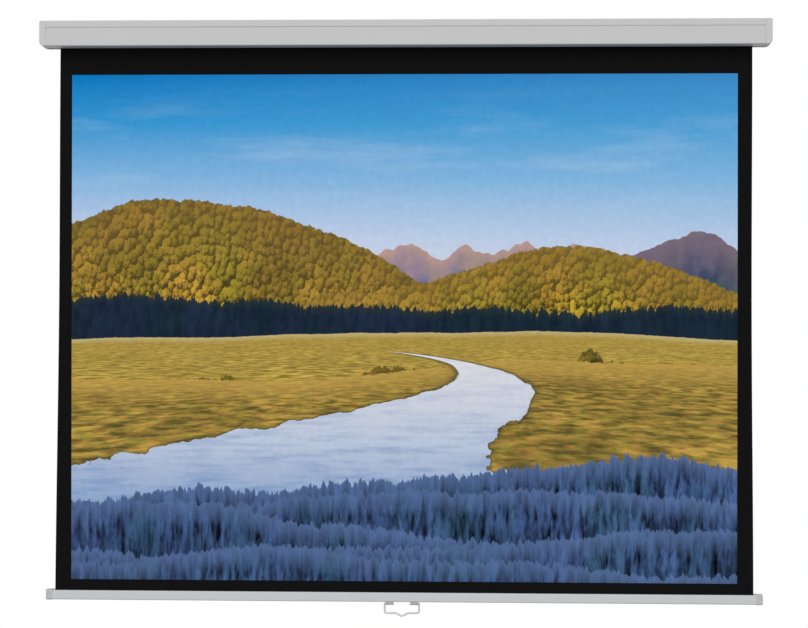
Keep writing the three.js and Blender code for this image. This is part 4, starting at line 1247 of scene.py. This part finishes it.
def makeHem():
    low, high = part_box("fabric_hem")
    rodLow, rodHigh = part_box("hem_rod")
    y, z = (low.y + high.y) / 2, (rodLow.z + rodHigh.z) / 2
    half, radius, steps = fabric["thickness"] / 2, fabric["hemRadius"], fabric["hemSteps"]
    opening = math.degrees(math.asin(half / radius))
    corners = [(y - half, high.z)]
    for i in range(steps + 1):
        angle = math.radians(90 + opening + (360 - 2 * opening) * i / steps)
        corners.append((y + radius * math.cos(angle), z + radius * math.sin(angle)))
    corners.append((y + half, high.z))
    makeStrip("fabricHem", "bar", "fabric_hem", corners)


def makeWraps():
    # a spiral from the hanging sheet's own line inwards, one layer of fabric in each turn
    tubeLow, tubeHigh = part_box("roller_tube")
    centre = centreOf("roller_tube")
    thickness, stepsPerTurn = fabric["thickness"], fabric["stepsPerTurn"]
    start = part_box("screen_fabric")[0].y + thickness / 2 - centre.y
    end = (tubeHigh.z - tubeLow.z) / 2 + fabric["tubeGap"] + thickness / 2
    turns = (start - end) / thickness
    corners = []
    for i in range(round(turns * stepsPerTurn) + 1):
        angle = 2 * math.pi * i / stepsPerTurn
        radius = start - thickness * i / stepsPerTurn
        corners.append((centre.y + radius * math.cos(angle), centre.z + radius * math.sin(angle)))
    makeStrip("fabricWraps", "roller", "fabric_wraps", corners)


makeSheet()
makeHem()
makeWraps()
print("fabric made")


# The mechanism keeps its own shapes and gets its finishes
mechanism = {
    "zinc_steel": ["bearing_plate_left", "bearing_plate_right", "roller_tube"],
    "plain_steel": [
        "spring_shaft", "spring_anchor", "ratchet_disc", "pawl_upper", "pawl_lower", "hem_rod",
        "gudgeon_pin", "pawl_pin_upper", "pawl_pin_lower",
    ],
    "spring_steel": ["torsion_spring", "shaft_clip"],
    "bronze": ["gudgeon_bush", "shaft_bush"],
    "plug_plastic": ["idle_plug", "spring_plug", "support_disc", "fabric_spline"],
}
for slot, names in mechanism.items():
    for name in names:
        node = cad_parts[name]
        node.data.materials.clear()
        node.data.materials.append(materials[slot])
print("mechanism finished")


# Floor, light and camera
studio = {
    "floorZ": -2.1,
    "floorSize": 24,
    "floorLift": 0.12,
    "floorColour": 0.55,
    "floorPale": 0.95,
    "fade": (1.6, 4.2),
    "sunPlace": (-1, -3, 3),
    "sunStrength": 2.1,
    "sunWay": (0.16, 0.86, -0.48),
    "sunSoftness": 74,
    "ambient": 0.34,
}
photoCamera = {
    "place": (0.27989, -6.0189, -0.96993),
    "yaw": 2.64708607,
    "pitch": 2.21644466,
    "roll": 0.22672482,
    "lens": 104.25,
    "sensor": 36,
    "farthest": 100,
}


def mixShaders(share, first, second):
    return addNode("MixShader", {0: share, 1: first.outputs[0], 2: second.outputs[0]})


def seenDirectly(tree):
    # one for rays from the camera, or off metal and through glass, which all see the white studio
    path = addNode("LightPath", tree=tree).outputs
    camera = calc("MAXIMUM", path["Is Camera Ray"], path["Is Glossy Ray"])
    return calc("MAXIMUM", camera, path["Is Transmission Ray"])


def makeFloor():
    # pale round the screen, where it takes the shadow, and white further out
    bpy.ops.mesh.primitive_plane_add(size=studio["floorSize"], location=(0, 0, studio["floorZ"]))
    floor = newPiece("floor")
    material, shader, place = newMaterial("pale-floor")
    tree = material.node_tree
    tree.nodes.remove(shader)
    away = addNode("VectorMath", {0: place}, operation="LENGTH").outputs["Value"]
    fade = remap(away, *studio["fade"], interpolation_type="SMOOTHSTEP")
    lit, pale = (
        addNode("BsdfDiffuse", {"Color": (value, value, value, 1)}, tree)
        for value in (studio["floorColour"], studio["floorPale"])
    )
    lift, white = (
        addNode("Emission", {"Strength": value}, tree) for value in (studio["floorLift"], 1.0)
    )
    shaded = addNode("AddShader", {0: pale.outputs[0], 1: lift.outputs[0]})
    both = mixShaders(seenDirectly(tree), lit, mixShaders(fade, shaded, white))
    setInputs(tree.nodes["Material Output"], {"Surface": both.outputs[0]})
    floor.data.materials.append(material)


def makeWorld():
    world = bpy.data.worlds.new("studio")
    bpy.context.scene.world = world
    world.use_nodes = True
    tree = world.node_tree
    ambient = tree.nodes["Background"]
    setInputs(ambient, {"Color": (1, 1, 1, 1), "Strength": studio["ambient"]})
    white = addNode("Background", {"Color": (1, 1, 1, 1), "Strength": 1.0}, tree)
    both = mixShaders(seenDirectly(tree), ambient, white)
    setInputs(tree.nodes["World Output"], {"Surface": both.outputs[0]})


def makeSun():
    bpy.ops.object.light_add(type="SUN", location=studio["sunPlace"])
    lamp = bpy.context.object
    lamp.data.energy = studio["sunStrength"]
    lamp.data.angle = math.radians(studio["sunSoftness"])
    lamp.rotation_mode = "QUATERNION"
    lamp.rotation_quaternion = Vector(studio["sunWay"]).to_track_quat("-Z", "Y")


def makeCamera():
    bpy.ops.object.camera_add(location=photoCamera["place"])
    camera = bpy.context.object
    camera.data.lens = photoCamera["lens"]
    camera.data.sensor_width = photoCamera["sensor"]
    camera.data.clip_end = photoCamera["farthest"]
    yaw = Matrix.Rotation(math.radians(photoCamera["yaw"]), 3, "Z")
    pitch = Matrix.Rotation(math.radians(90 + photoCamera["pitch"]), 3, "X")
    roll = Matrix.Rotation(math.radians(photoCamera["roll"]), 3, "Z")
    camera.rotation_euler = (yaw @ pitch @ roll).to_euler()
    bpy.context.scene.camera = camera


makeFloor()
makeWorld()
makeSun()
makeCamera()
bpy.context.scene.view_settings.view_transform = "Standard"
print("studio made")

bpy.ops.object.select_all(action="DESELECT")
